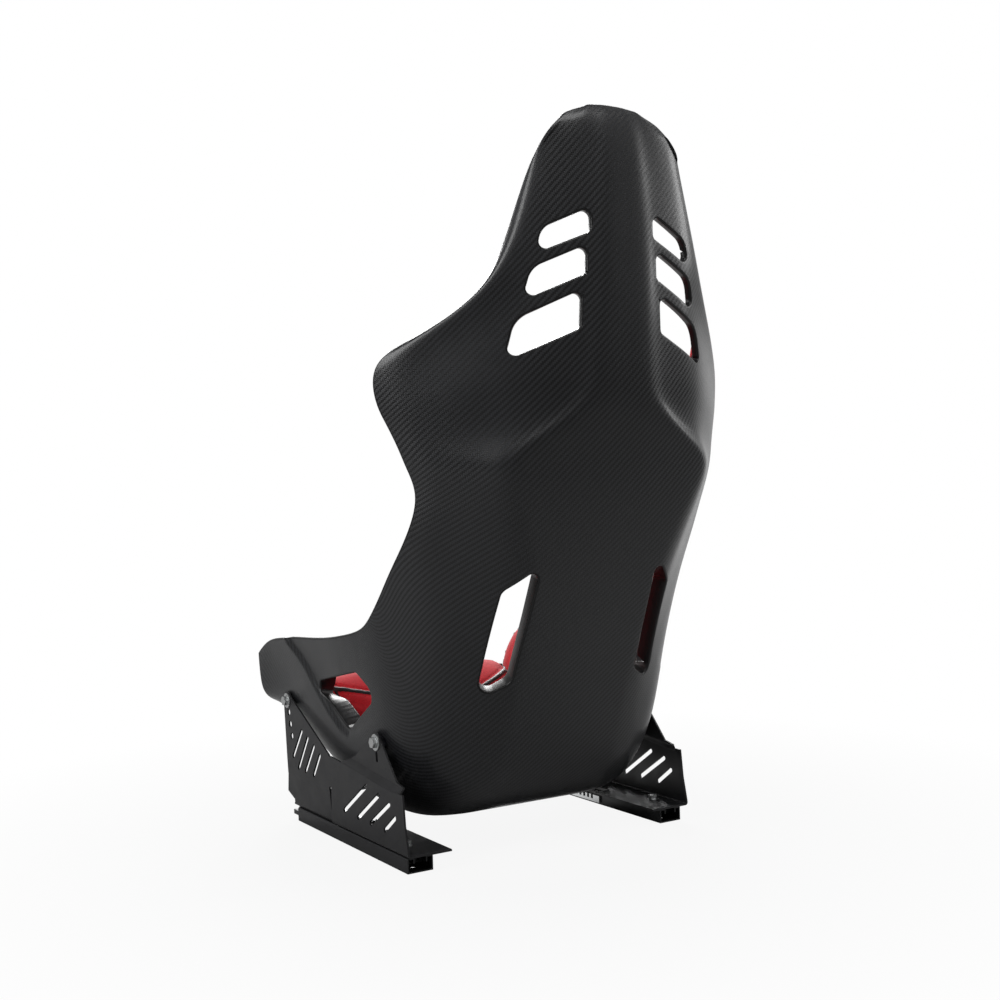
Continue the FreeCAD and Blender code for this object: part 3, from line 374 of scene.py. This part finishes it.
def shell_net():
    """Control points of the outer face in metres, rim to rim at every station."""
    shift = row_shift()
    settings = bpy.context.scene.seat_shell
    round_in = settings.ridge_round / MM
    net = []
    for s in STATIONS:
        start = Vector((0, s.y + shift, s.z))
        rim = Vector((0, s.rim_y + shift, s.rim_z))
        depth = (rim - start).length
        inward = (rim - start) / depth
        inner, outer = s.ridge - round_in, s.ridge + round_in
        ridge_d = s.bow + s.step
        half = [(0, 0), (inner, s.bow), (outer, ridge_d),
                ((outer + s.panel_x) / 2, (ridge_d + s.panel_d) / 2 - 2), (s.panel_x, s.panel_d),
                (s.side_x, s.side_d), (0.45 * s.side_x + 0.55 * s.rim_x + s.swell, (s.side_d + depth) / 2),
                (s.rim_x, depth)]
        points = [(Vector((x, 0, 0)) + start + inward * d) * MM for x, d in half]
        mirror = [Vector((-p.x, p.y, p.z)) for p in reversed(points[1:])]
        net.append(mirror + points)
    return net


def lengths(points, start):
    """Signed distance along a run of points, from the one at start."""
    steps = [(b - a).length for a, b in zip(points, points[1:])]
    return [sum(steps[start:i]) if i >= start else -sum(steps[i:start]) for i in range(len(points))]


def lay_heights(net):
    """How far up the cloth each point lies: along the middle column, and level with it on both sides."""
    middle = [row[MIDDLE] for row in net]
    along = lengths(middle, LAY_STATION)
    heights = []
    for i, row in enumerate(net):
        way = (middle[min(i + 1, len(net) - 1)] - middle[max(i - 1, 0)]).normalized()
        heights.append([along[i] + (p - middle[i]).dot(way) for p in row])
    return heights


def mesh_object(name, bm):
    """Object at the origin from a bmesh, which is freed."""
    mesh = bpy.data.meshes.new(name)
    bm.to_mesh(mesh)
    bm.free()
    obj = bpy.data.objects.new(name, mesh)
    bpy.context.scene.collection.objects.link(obj)
    return obj


def applied(obj):
    """Replace an object's mesh by what its modifiers make of it."""
    graph = bpy.context.evaluated_depsgraph_get()
    mesh = bpy.data.meshes.new_from_object(obj.evaluated_get(graph), preserve_all_data_layers=True,
                                           depsgraph=graph)
    obj.modifiers.clear()
    obj.data = mesh
    return obj


def shell_skin(levels):
    """Outer face of the shell, subdivided from the net, with the cloth's lay as its UV map."""
    net = shell_net()
    rows, columns = len(net), len(net[0])
    bm = bmesh.new()
    bmesh.ops.create_grid(bm, x_segments=columns - 1, y_segments=rows - 1, size=1)
    if len(bm.verts) != rows * columns:
        raise RuntimeError("the grid doesn't have one vertex for each control point")
    across = [lengths(row, MIDDLE) for row in net]
    along = lay_heights(net)
    lay = bm.loops.layers.uv.new("lay")
    place = {v: (round((v.co.y + 1) / 2 * (rows - 1)), round((v.co.x + 1) / 2 * (columns - 1)))
             for v in bm.verts}
    for face in bm.faces:
        for loop in face.loops:
            i, j = place[loop.vert]
            loop[lay].uv = (across[i][j], along[i][j])
    for v, (i, j) in place.items():
        v.co = net[i][j]
    bm.normal_update()
    middle_back = min(bm.faces, key=lambda f: (f.calc_center_median() - net[LAY_STATION][MIDDLE]).length)
    if middle_back.normal.y < 0:
        bmesh.ops.reverse_faces(bm, faces=bm.faces[:])
    skin = mesh_object("shell_skin", bm)
    subdivision = skin.modifiers.new("smooth", "SUBSURF")
    subdivision.levels = subdivision.render_levels = levels
    subdivision.boundary_smooth = "PRESERVE_CORNERS"
    subdivision.uv_smooth = "SMOOTH_ALL"
    return applied(skin)


def opening_planes(opening, grow):
    """Points and outward directions, in a plane, of an opening with round corners, made larger by grow."""
    points = [Vector(p) for p in opening.corners]
    count = len(points)
    middle = sum(points, Vector((0, 0))) / count
    normals = []
    for i in range(count):
        run = (points[(i + 1) % count] - points[i]).normalized()
        out = Vector((run.y, -run.x))
        if out.dot(points[i] - middle) < 0:
            out = -out
        normals.append(out)
    planes = []
    for i, radius in enumerate(opening.radii):
        before, after = normals[i - 1], normals[i]
        planes.append((points[i] + after * grow, after))
        centre = points[i] - (before + after) * (radius / (1 + before.dot(after)))
        for k in range(1, CORNER_CUTS):
            out = before.slerp(after, k / CORNER_CUTS)
            planes.append((centre + out * (radius + grow), out))
    return planes


def within(place, box, side=0):
    """Whether a point is in a box that is given for one side, or for both when side is 0."""
    x = side * place.x if side else abs(place.x)
    return all(low < value < high for low, value, high in zip(box.low, (x, place.y, place.z), box.high))


def border_verts(bm):
    """Every vertex on an open edge."""
    return {v for e in bm.edges if e.is_boundary for v in e.verts}


def cut_opening(bm, planes, inside, depth):
    """Cut the faces inside along every plane, take out what lies within them all, and note the depth."""
    old_border = border_verts(bm)
    turn_in = bm.verts.layers.float["turn_in"]
    way_out = bm.verts.layers.float_vector["way_out"]
    for point, out in planes:
        near = set(inside)
        edges = {e for f in near for e in f.edges}
        verts = {v for f in near for v in f.verts}
        geom = [*sorted(near, key=lambda f: f.index), *sorted(edges, key=lambda e: e.index),
                *sorted(verts, key=lambda v: v.index)]
        made = bmesh.ops.bisect_plane(bm, geom=geom, dist=1e-6, plane_co=point, plane_no=out)
        faces = [g for g in made["geom"] if isinstance(g, bmesh.types.BMFace)]
        inside = [f for f in faces if (f.calc_center_median() - point).dot(out) < 0]
        for sequence in (bm.verts, bm.edges, bm.faces):
            sequence.index_update()
    bmesh.ops.delete(bm, geom=inside, context="FACES")
    border = border_verts(bm) - old_border
    near = border | {e.other_vert(v) for v in border for e in v.link_edges}
    close = bmesh.ops.find_doubles(bm, verts=sorted(near, key=lambda v: v.index), dist=WELD * MM,
                                   keep_verts=sorted(border, key=lambda v: v.index))
    bmesh.ops.weld_verts(bm, targetmap=close["targetmap"])
    border = border_verts(bm) - old_border
    bmesh.ops.remove_doubles(bm, verts=sorted(border, key=lambda v: v.index), dist=EDGE_WELD * MM)
    for v in border_verts(bm) - old_border:
        v[turn_in] = depth
        v[way_out] = -min(planes, key=lambda plane: abs((v.co - plane[0]).dot(plane[1])))[1]


def press_sides(bm, width):
    """Press both sides in behind the crease line, on a finer mesh."""
    near = [f for f in bm.faces if within(f.calc_center_median(), CREASE_FACES)]
    edges = sorted({e for f in near for e in f.edges}, key=lambda e: e.index)
    bmesh.ops.subdivide_edges(bm, edges=edges, cuts=CREASE_CUTS, use_grid_fill=True)
    bm.normal_update()
    shift = row_shift()
    line = [Vector((y + shift, z)) * MM for y, z in CREASE]
    moves = {}
    for v in [v for v in bm.verts if within(v.co, CREASE_POINTS)]:
        place = Vector((v.co.y, v.co.z))
        nearest, weights, depths = None, 0.0, 0.0
        for i, (a, b) in enumerate(zip(line, line[1:])):
            run = b - a
            t = min(max((place - a).dot(run) / run.length_squared, 0.0), 1.0)
            away = place - (a + run * t)
            weight = (away.length + CREASE_BLUR * MM) ** -3
            weights += weight
            depths += weight * (CREASE_DEPTH[i] * (1 - t) + CREASE_DEPTH[i + 1] * t)
            if nearest is None or away.length < nearest[0]:
                nearest = (away.length, math.copysign(away.length, run.x * away.y - run.y * away.x))
        behind, depth = nearest[1], depths / weights
        t = min(max(behind / width + 0.5, 0.0), 1.0)
        fade = 1 - min(max(behind / (CREASE_FADE * MM), 0.0), 1.0)
        moves[v] = -v.normal * (depth * MM * t * t * (3 - 2 * t) * fade * fade * (3 - 2 * fade))
    for v, move in moves.items():
        v.co += move
    for sequence in (bm.verts, bm.edges, bm.faces):
        sequence.index_update()


def cut_openings(bm, grow):
    """Vents, lumbar slots and hip holes, left and right."""
    shift = row_shift()
    bm.verts.layers.float.new("turn_in")
    bm.verts.layers.float_vector.new("way_out")
    way_in = bm.verts.layers.float_vector.new("way_in")
    bm.normal_update()
    for v in bm.verts:
        v[way_in] = -v.normal
    for side in (1, -1):
        for opening in [*VENTS, LUMBAR]:
            planes = [(Vector((side * p.x, 0, p.y)) * MM, Vector((side * n.x, 0, n.y)))
                      for p, n in opening_planes(opening, grow / MM)]
            low = (min(z for _, z in opening.corners) - BACK_MARGIN) * MM
            high = (max(z for _, z in opening.corners) + BACK_MARGIN) * MM
            reach = (max(x for x, _ in opening.corners) + BACK_MARGIN) * MM
            box = Box((0.0, BACK_FROM * MM, low), (reach, 1.0, high))
            near = [f for f in bm.faces if within(f.calc_center_median(), box, side)]
            cut_opening(bm, planes, near, opening.depth * MM)
        planes = [(Vector((0, p.x + shift, p.y)) * MM, Vector((0, n.x, n.y)))
                  for p, n in opening_planes(HIP, grow / MM)]
        near = [f for f in bm.faces if within(f.calc_center_median(), HIP_FACES, side)]
        cut_opening(bm, planes, near, HIP.depth * MM)
    bmesh.ops.dissolve_degenerate(bm, edges=bm.edges[:], dist=1e-5)


def lip_section(reach, wall, depth, steps=5):
    """Rings of a border as (out, in): a round nose, or one that turns in and comes back to the inside."""
    skin = SKIN * MM
    if not depth:
        return [(reach * math.sin(a), wall / 2 * (1 - math.cos(a)))
                for a in (math.pi * k / (2 * steps + 2) for k in range(1, 2 * steps + 3))]
    nose = [math.pi / 2 * k / steps for k in range(1, steps + 1)]
    tip = [math.pi * k / steps for k in range(steps + 1)]
    rings = [(reach * math.sin(a), reach * (1 - math.cos(a))) for a in nose]
    rings += [(reach - skin / 2 * (1 - math.cos(a)), depth - skin / 2 + skin / 2 * math.sin(a))
              for a in tip]
    return rings + [(0, wall)]


def thicken(bm, wall, reach):
    """Second face a wall further in, and a rounded lip from one to the other along every border."""
    layers = bm.verts.layers
    place = layers.float_vector.new("place")
    way_in, way_out = [layers.float_vector[name] for name in ("way_in", "way_out")]
    turn_in = layers.float["turn_in"]
    for v in bm.verts:
        v[place] = v.co
        v[way_in] = v[way_in].normalized()
    ring = [e for e in bm.edges if e.is_boundary]
    for e in ring:
        a, b = e.verts
        out = (b.co - a.co).cross(a[way_in] + b[way_in])
        if out.dot((a.co + b.co) / 2 - e.link_faces[0].calc_center_median()) < 0:
            out = -out
        for v in (a, b):
            if not v[turn_in]:
                v[way_out] = v[way_out] + out
    for v in border_verts(bm):
        v[way_out] = (v[way_out] - v[way_in] * v[way_out].dot(v[way_in])).normalized()
    made = bmesh.ops.duplicate(bm, geom=[*bm.verts, *bm.edges, *bm.faces])["geom"]
    for v in (g for g in made if isinstance(g, bmesh.types.BMVert)):
        v.co = v[place] + v[way_in] * wall
    bmesh.ops.reverse_faces(bm, faces=[g for g in made if isinstance(g, bmesh.types.BMFace)])
    sections = {}
    for e in ring:
        for v in e.verts:
            depth = round(v[turn_in], 5)
            sections.setdefault(depth, lip_section(reach, wall, depth))
    for step in range(len(next(iter(sections.values())))):
        made = bmesh.ops.extrude_edge_only(bm, edges=ring)["geom"]
        verts = {g for g in made if isinstance(g, bmesh.types.BMVert)}
        for v in verts:
            out, into = sections[round(v[turn_in], 5)][step]
            v.co = v[place] + v[way_out] * out + v[way_in] * into
        for face in (g for g in made if isinstance(g, bmesh.types.BMFace)):
            face.material_index = 1
        ring = [g for g in made if isinstance(g, bmesh.types.BMEdge) and verts.issuperset(g.verts)]
    bmesh.ops.remove_doubles(bm, verts=bm.verts[:], dist=1e-6)
    for layer in (place, way_in, way_out):
        layers.float_vector.remove(layer)
    layers.float.remove(turn_in)


def merged_copy(name, node):
    """Object at the origin with a CAD node's mesh, its triangles joined."""
    bm = bmesh.new()
    bm.from_mesh(frame["nodes"][node].data)
    bmesh.ops.remove_doubles(bm, verts=bm.verts[:], dist=1e-5)
    return mesh_object(name, bm)


def eased(node, width):
    """Copy of a CAD node with every sharp edge broken, as deburring, pressing and paint leave it."""
    bm = bmesh.new()
    bm.from_mesh(frame["nodes"][node].data)
    bmesh.ops.remove_doubles(bm, verts=bm.verts[:], dist=1e-5)
    bmesh.ops.dissolve_limit(bm, angle_limit=math.radians(0.5), verts=bm.verts[:], edges=bm.edges[:])
    sharp = [e for e in bm.edges if len(e.link_faces) == 2 and e.calc_face_angle() > math.radians(SHARP)]
    bmesh.ops.bevel(bm, geom=sharp, offset=width * MM, offset_type="OFFSET", segments=2, profile=0.5,
                    affect="EDGES", clamp_overlap=True, material=-1)
    bmesh.ops.triangulate(bm, faces=[f for f in bm.faces if len(f.verts) > 4])
    for face in bm.faces:
        face.smooth = True
    piece = mesh_object("eased_" + node, bm)
    piece.data.set_sharp_from_angle(angle=math.radians(CRISP))
    return piece


def body_of(node):
    """Body that a CAD node rides on."""
    bodies = frame["record"]["behaviour"]["bodies"]
    return next(body for body, nodes in bodies.items() if node in nodes)


def stand_for(piece, node):
    """Put a finished piece in a CAD node's place."""
    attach(piece, body_of(node))
    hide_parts(node)


class ShellSettings(bpy.types.PropertyGroup):
    """Sizes of the laminate."""
    wall: FloatProperty(name="Wall", description="Thickness of the laminate", default=4.5 * MM,
                        unit="LENGTH")
    ridge_round: FloatProperty(name="Ridge round", description="Half width of the bend along each ridge",
                               default=7 * MM, unit="LENGTH")
    lip: FloatProperty(name="Lip", description="How far the rounded lip reaches past the cut edge",
                       default=2.6 * MM, unit="LENGTH")
    crease: FloatProperty(name="Crease", description="Width of the bend round the hip hole", default=9 * MM,
                          unit="LENGTH")
    tow: FloatProperty(name="Tow", description="Width of one carbon tow", default=2.2 * MM,
                       unit="LENGTH")
    levels: IntProperty(name="Levels", description="Subdivision of the net", default=3, min=1, max=4)


class CushionSettings(bpy.types.PropertyGroup):
    """Sizes of the cushions and their covers."""
    voxel: FloatProperty(name="Voxel", description="Mesh size before the covers are inflated",
                         default=5 * MM, unit="LENGTH")
    glue: FloatProperty(name="Glue", description="Points nearer than this to a neighbour don't move",
                        default=4 * MM, unit="LENGTH")
    cap: FloatProperty(name="Cap", description="Furthest that inflation moves a point", default=9 * MM,
                       unit="LENGTH")
    room: FloatProperty(name="Room", description="Share of the free space that inflation may take up",
                        default=0.45, subtype="FACTOR")
    pressure: FloatProperty(name="Pressure", description="Pressure inside a cover", default=4.0)
    frames: IntProperty(name="Frames", description="Steps of the cloth simulation", default=20)
    piping: FloatProperty(name="Piping", description="Width of the welt along the seams", default=5.5 * MM,
                          unit="LENGTH")
    channel: FloatProperty(name="Channel", description="Depth of the sewn channels", default=5 * MM,
                           unit="LENGTH")
    seam_angle: FloatProperty(name="Seam angle", description="Foam edges sharper than this are piped",
                              default=math.radians(48), subtype="ANGLE")
    loop: FloatProperty(name="Loop", description="Size of one knitted loop as drawn", default=2.4 * MM,
                        unit="LENGTH")


class SeatColours(bpy.types.PropertyGroup):
    """Colours of the finishes."""
    # painted sheen and painted shade: one near-black carbon, its tows up the seat given a lighter colour and
    # those across it a darker one, for the light their floats catch
    carbon_warp_painted_sheen: FloatVectorProperty(name="Carbon, lit tows", description="Tows that run up the seat",
                                     subtype="COLOR", default=linear("2A2B2E"))
    carbon_weft_painted_shade: FloatVectorProperty(name="Carbon, dark tows", description="Tows that run across the seat",
                                     subtype="COLOR", default=linear("101012"))
    resin: FloatVectorProperty(name="Resin edge", description="Rolled edges", subtype="COLOR",
                               default=linear("141415"))
    red: FloatVectorProperty(name="Red cover", description="Main colour of the covers", subtype="COLOR",
                             default=linear("E2303A"))
    red_dark: FloatVectorProperty(name="Red cover, shade", description="Darker patches of the red covers",
                                  subtype="COLOR", default=linear("CC2430"))
    black: FloatVectorProperty(name="Black cover", description="Head cushion", subtype="COLOR",
                               default=linear("1E1E20"))
    piping: FloatVectorProperty(name="Piping", description="Welt along the seams", subtype="COLOR",
                                default=linear("161617"))
    bracket: FloatVectorProperty(name="Brackets", description="Powder coat of the side brackets",
                                 subtype="COLOR", default=linear("1B1B1D"))
    rail: FloatVectorProperty(name="Rails", description="Coat of the floor rails", subtype="COLOR",
                              default=linear("1A1A1C"))


class StageSettings(bpy.types.PropertyGroup):
    """Camera and light."""
    lens: FloatProperty(name="Lens", description="Focal length on a 36 mm sensor", default=46.8)
    yaw: FloatProperty(name="Yaw", description="Camera's turn from behind the seat towards its left",
                       default=math.radians(32.1), subtype="ANGLE")
    pitch: FloatProperty(name="Pitch", description="Camera's tilt up", default=math.radians(-0.3),
                         subtype="ANGLE")
    roll: FloatProperty(name="Roll", description="Camera's turn about its own view",
                        default=math.radians(-1.59), subtype="ANGLE")
    place: FloatVectorProperty(name="Place", description="Where the camera stands",
                               subtype="TRANSLATION", unit="LENGTH", default=(0.977, 1.573, 0.475))
    world: FloatProperty(name="World", description="Strength of the plain light all round", default=0.16)
    key: FloatProperty(name="Key", description="Power of the lamp on the camera's left", default=36.0,
                       unit="POWER")
    over: FloatProperty(name="Over", description="Power of the lamp overhead", default=17.0, unit="POWER")
    ridge: FloatProperty(name="Ridge", description="Power of the lamp on the camera's right", default=14.0,
                         unit="POWER")
    front: FloatProperty(name="Front", description="Power of the lamp before the seat", default=90.0,
                         unit="POWER")


class SEAT_OT_shell(bpy.types.Operator):
    """Laminate shell with rounded lips round its rim, vents, slots and hip holes"""
    bl_idname = "seat.shell"
    bl_label = "Shell"

    def execute(self, context):
        sizes = context.scene.seat_shell
        colours = context.scene.seat_colours
        skin = shell_skin(sizes.levels)
        bm = bmesh.new()
        bm.from_mesh(skin.data)
        bpy.data.objects.remove(skin)
        press_sides(bm, sizes.crease)
        cut_openings(bm, sizes.lip)
        thicken(bm, sizes.wall, sizes.lip)
        for face in bm.faces:
            face.smooth = True
        shell = mesh_object("laminate_shell", bm)
        shell.data.materials.append(carbon_twill(colours, sizes))
        shell.data.materials.append(resin_edge(colours))
        stand_for(shell, "shell")
        return {"FINISHED"}


class SEAT_OT_cushions(bpy.types.Operator):
    """Inflated fabric covers over the foam of every cushion and pad"""
    bl_idname = "seat.cushions"
    bl_label = "Cushions"

    def execute(self, context):
        sizes = context.scene.seat_cushions
        colours = context.scene.seat_colours
        red = sewn_cover("red_polyester_knit", colours.red, colours.red_dark, colours.piping, sizes)
        black = sewn_cover("black_polyester_knit", colours.black, [v * 0.7 for v in colours.black],
                           colours.piping, sizes)
        for node in PADS:
            piece = merged_copy("cover_" + node, node)
            remesh = piece.modifiers.new("remesh", "REMESH")
            remesh.mode = "VOXEL"
            remesh.voxel_size = sizes.voxel
            applied(piece)
            seams, channels = seam_distances(piece, node, sizes)
            for name, values in (("seam", seams), ("channel", channels)):
                attribute = piece.data.attributes.new(name, "FLOAT", "POINT")
                attribute.data.foreach_set("value", values)
            inflate(piece, clearances(piece, node), sizes)
            sew(piece, sizes)
            for polygon in piece.data.polygons:
                polygon.use_smooth = True
            piece.data.materials.clear()
            piece.data.materials.append(black if node == "head_cushion" else red)
            stand_for(piece, node)
        return {"FINISHED"}


def seam_distances(piece, node, sizes):
    """How far each vertex is from a piped seam, and from a sewn channel, in metres."""
    bm = bmesh.new()
    bm.from_mesh(frame["nodes"][node].data)
    bmesh.ops.remove_doubles(bm, verts=bm.verts[:], dist=1e-5)
    marks = []
    for e in bm.edges:
        if len(e.link_faces) == 2 and e.calc_face_angle() > sizes.seam_angle:
            steps = max(1, math.ceil(e.calc_length() / (MARK_STEP * MM)))
            a, b = e.verts
            marks += [a.co.lerp(b.co, k / steps) for k in range(steps + 1)]
    bm.free()
    tree = KDTree(len(marks))
    for i, mark in enumerate(marks):
        tree.insert(mark, i)
    tree.balance()
    sewing = SEWING.get(node, PLAIN)
    front = Vector(sewing.front).normalized()
    seams, channels = [], []
    for v in piece.data.vertices:
        place = Vector((abs(v.co.x), v.co.y, v.co.z))
        border = tree.find(v.co)[2]
        facing = v.normal.dot(front) > FACING
        away = [abs(place.dot(Vector(way)) - at * MM) / Vector(way).length for way, at in sewing.seams]
        seams.append(min([border, *away]) if facing else border)
        inside = border > BORDER * MM and place.x < sewing.reach * MM
        away = [abs(place.dot(Vector(way)) - at * MM) / Vector(way).length for way, at in sewing.channels]
        channels.append(min(away) if away and facing and inside else FAR * MM)
    return seams, channels


def sew(piece, sizes):
    """Raise the welt along every piped seam with a tuck beside it, and draw the sewn channels in."""
    seams, channels = piece.data.attributes["seam"].data, piece.data.attributes["channel"].data
    normals = [v.normal.copy() for v in piece.data.vertices]
    half = sizes.piping / 2
    for v, normal in zip(piece.data.vertices, normals):
        seam, channel = seams[v.index].value, channels[v.index].value
        move = -sizes.channel * math.exp(-(channel / (CHANNEL_WIDTH * MM)) ** 2)
        if seam < half:
            move = half * WELT_CROWN * math.cos(math.pi / 2 * seam / half)
        else:
            move -= TUCK * MM * math.exp(-((seam - half - TUCK_OUT * MM) / (TUCK_WIDTH * MM)) ** 2)
        v.co += normal * move


def clearances(piece, node):
    """How far each vertex is from the shell and from the other pads."""
    trees = []
    for other in ["shell", *PADS]:
        if other != node:
            bm = bmesh.new()
            bm.from_mesh(frame["nodes"][other].data)
            trees.append(BVHTree.FromBMesh(bm))
            bm.free()
    reach = FAR * MM
    found = [[tree.find_nearest(v.co, reach) for tree in trees] for v in piece.data.vertices]
    return [min([reach, *(near[3] for near in nearest if near[0])]) for nearest in found]


def inflate(piece, gaps, sizes):
    """Cloth under pressure, glued to the shell behind it and held to a cap, then one subdivision."""
    scene = bpy.context.scene
    rest = [v.co.copy() for v in piece.data.vertices]
    glued = piece.vertex_groups.new(name="glued")
    glued.add([i for i, gap in enumerate(gaps) if gap < sizes.glue], 1.0, "REPLACE")
    cloth = piece.modifiers.new("cover", "CLOTH")
    cloth.settings.vertex_group_mass = "glued"
    cloth.settings.use_pressure = True
    cloth.settings.uniform_pressure_force = sizes.pressure
    cloth.settings.effector_weights.gravity = 0
    cloth.settings.quality = 5
    for step in range(1, sizes.frames + 1):
        scene.frame_set(step)
    applied(piece)
    scene.frame_set(1)
    for v, start, gap in zip(piece.data.vertices, rest, gaps):
        move = v.co - start
        cap = min(sizes.cap, sizes.room * gap)
        if move.length > cap:
            v.co = start + move * (cap / move.length)
    piece.vertex_groups.clear()
    subdivision = piece.modifiers.new("soft", "SUBSURF")
    subdivision.levels = subdivision.render_levels = 1
    applied(piece)


class SEAT_OT_hardware(bpy.types.Operator):
    """Finishes of the brackets, rails, fasteners and the release gear"""
    bl_idname = "seat.hardware"
    bl_label = "Hardware"

    def execute(self, context):
        colours = context.scene.seat_colours
        finishes = {
            "bracket_paint": powder_coat("bracket_powder_coat", list(colours.bracket), 0.34, 0.5),
            "rail_paint": powder_coat("rail_electrocoat", list(colours.rail), 0.28, 0.42),
            "zinc": metal("zinc_plate", linear("E2E4E4"), 0.28, 0.42, 260.0),
            "alloy": metal("black_anodised_aluminium", linear("3A3A3E"), 0.3, 0.42, 500.0),
            "bearing_steel": metal("ground_bearing_steel", linear("D0D2D4"), 0.08, 0.16, 400.0),
            "spring_steel": metal("oiled_spring_steel", linear("8A8C8E"), 0.3, 0.45, 300.0),
            "cage_plastic": nylon(linear("D8D4C6")),
        }
        slots = {part["node"]: part["material_slot"] for part in frame["record"]["subparts"]}
        for node, obj in frame["nodes"].items():
            if slots[node] not in finishes:
                continue
            if node in EASED:
                piece = eased(node, EASED[node])
                stand_for(piece, node)
                obj = piece
            obj.data.materials.clear()
            obj.data.materials.append(finishes[slots[node]])
        return {"FINISHED"}


class SEAT_OT_stage(bpy.types.Operator):
    """Pale floor, soft studio light and the camera"""
    bl_idname = "seat.stage"
    bl_label = "Stage"

    def execute(self, context):
        scene = context.scene
        settings = scene.seat_stage
        bm = bmesh.new()
        bmesh.ops.create_grid(bm, x_segments=1, y_segments=1, size=30)
        floor = mesh_object("floor", bm)
        material, tree = new_material("pale_floor")
        place = add(tree, "TexCoord").outputs["Object"]
        noise = add(tree, "TexNoise", {"Vector": place, "Scale": 3.0})
        tone = add(tree, "MapRange", {0: noise.outputs[0], 3: 0.36, 4: 0.38})
        paint = add(tree, "BsdfPrincipled", {
            "Base Color": tone.outputs[0], "Roughness": 0.9, "Specular IOR Level": 0.1})
        # the camera sees the floor go over into the white backdrop from 0.3 to 1 m out, and its soft
        # shadow near the seat
        distance = add(tree, "VectorMath", {0: place}, operation="LENGTH")
        away = add(tree, "MapRange", {
            0: distance.outputs["Value"], 1: 0.3, 2: 1.0, 3: 0.91, 4: 1.0})
        share = backdrop_share(tree, place)
        white = add(tree, "Math", {0: away.outputs[0], 1: share}, operation="MULTIPLY")
        glow = add(tree, "Emission", {"Color": (1, 1, 1), "Strength": 1.0})
        both = add(tree, "MixShader", {
            0: white.outputs[0], 1: paint.outputs[0], 2: glow.outputs[0]})
        surface_output(tree, both)
        floor.data.materials.append(material)
        world = bpy.data.worlds.new("studio")
        world.use_nodes = True
        tree = world.node_tree
        tree.nodes.clear()
        place = add(tree, "TexCoord").outputs["Object"]
        strength = add(tree, "MapRange", {0: backdrop_share(tree, place), 3: settings.world, 4: 1.0})
        sky = add(tree, "Background", {"Color": (1, 1, 1), "Strength": strength.outputs[0]})
        add(tree, "OutputWorld", {"Surface": sky.outputs[0]})
        scene.world = world
        for name, (place, width, height) in LAMPS.items():
            lamp = bpy.data.lights.new(name, "AREA")
            lamp.shape = "RECTANGLE"
            lamp.size, lamp.size_y = width, height
            lamp.energy = getattr(settings, name)
            light = bpy.data.objects.new(name, lamp)
            place = Vector(place)
            turn = (place - Vector(SEAT_MIDDLE)).to_track_quat("Z", "Y").to_matrix().to_4x4()
            light.matrix_world = Matrix.Translation(place) @ turn
            scene.collection.objects.link(light)
        yaw, pitch, roll = settings.yaw, settings.pitch, settings.roll
        look = Vector((-math.sin(yaw) * math.cos(pitch), -math.cos(yaw) * math.cos(pitch), math.sin(pitch)))
        right = look.cross(Vector((0, 0, 1))).normalized()
        up = right.cross(look)
        turned = right * math.cos(roll) + up * math.sin(roll)
        upright = up * math.cos(roll) - right * math.sin(roll)
        camera = bpy.data.objects.new("camera", bpy.data.cameras.new("camera"))
        camera.data.lens = settings.lens
        camera.data.sensor_width = 36
        camera.data.clip_start = 0.05
        camera.matrix_world = Matrix.Translation(Vector(settings.place)) @ Matrix(
            (turned, upright, -look)).transposed().to_4x4()
        scene.collection.objects.link(camera)
        scene.camera = camera
        scene.view_settings.view_transform = "Standard"
        return {"FINISHED"}


class SEAT_PT_panel(bpy.types.Panel):
    """Buttons for each part of the seat"""
    bl_idname = "SEAT_PT_panel"
    bl_label = "Racing seat"
    bl_space_type = "VIEW_3D"
    bl_region_type = "UI"
    bl_category = "Seat"

    def draw(self, context):
        for step in STEPS:
            self.layout.operator(step.bl_idname)


SETTINGS = {"seat_shell": ShellSettings, "seat_cushions": CushionSettings, "seat_colours": SeatColours,
            "seat_stage": StageSettings}
STEPS = [SEAT_OT_stage, SEAT_OT_shell, SEAT_OT_cushions, SEAT_OT_hardware]


def register():
    """Register every class and the settings."""
    for cls in [*SETTINGS.values(), *STEPS, SEAT_PT_panel]:
        bpy.utils.register_class(cls)
    for name, cls in SETTINGS.items():
        setattr(bpy.types.Scene, name, PointerProperty(type=cls))


def unregister():
    """Take them out again."""
    for name in SETTINGS:
        delattr(bpy.types.Scene, name)
    for cls in reversed([*SETTINGS.values(), *STEPS, SEAT_PT_panel]):
        bpy.utils.unregister_class(cls)


def main():
    """Build the seat."""
    register()
    bpy.ops.seat.stage()
    bpy.ops.seat.shell()
    bpy.ops.seat.cushions()
    bpy.ops.seat.hardware()


if __name__ == "__main__":
    main()
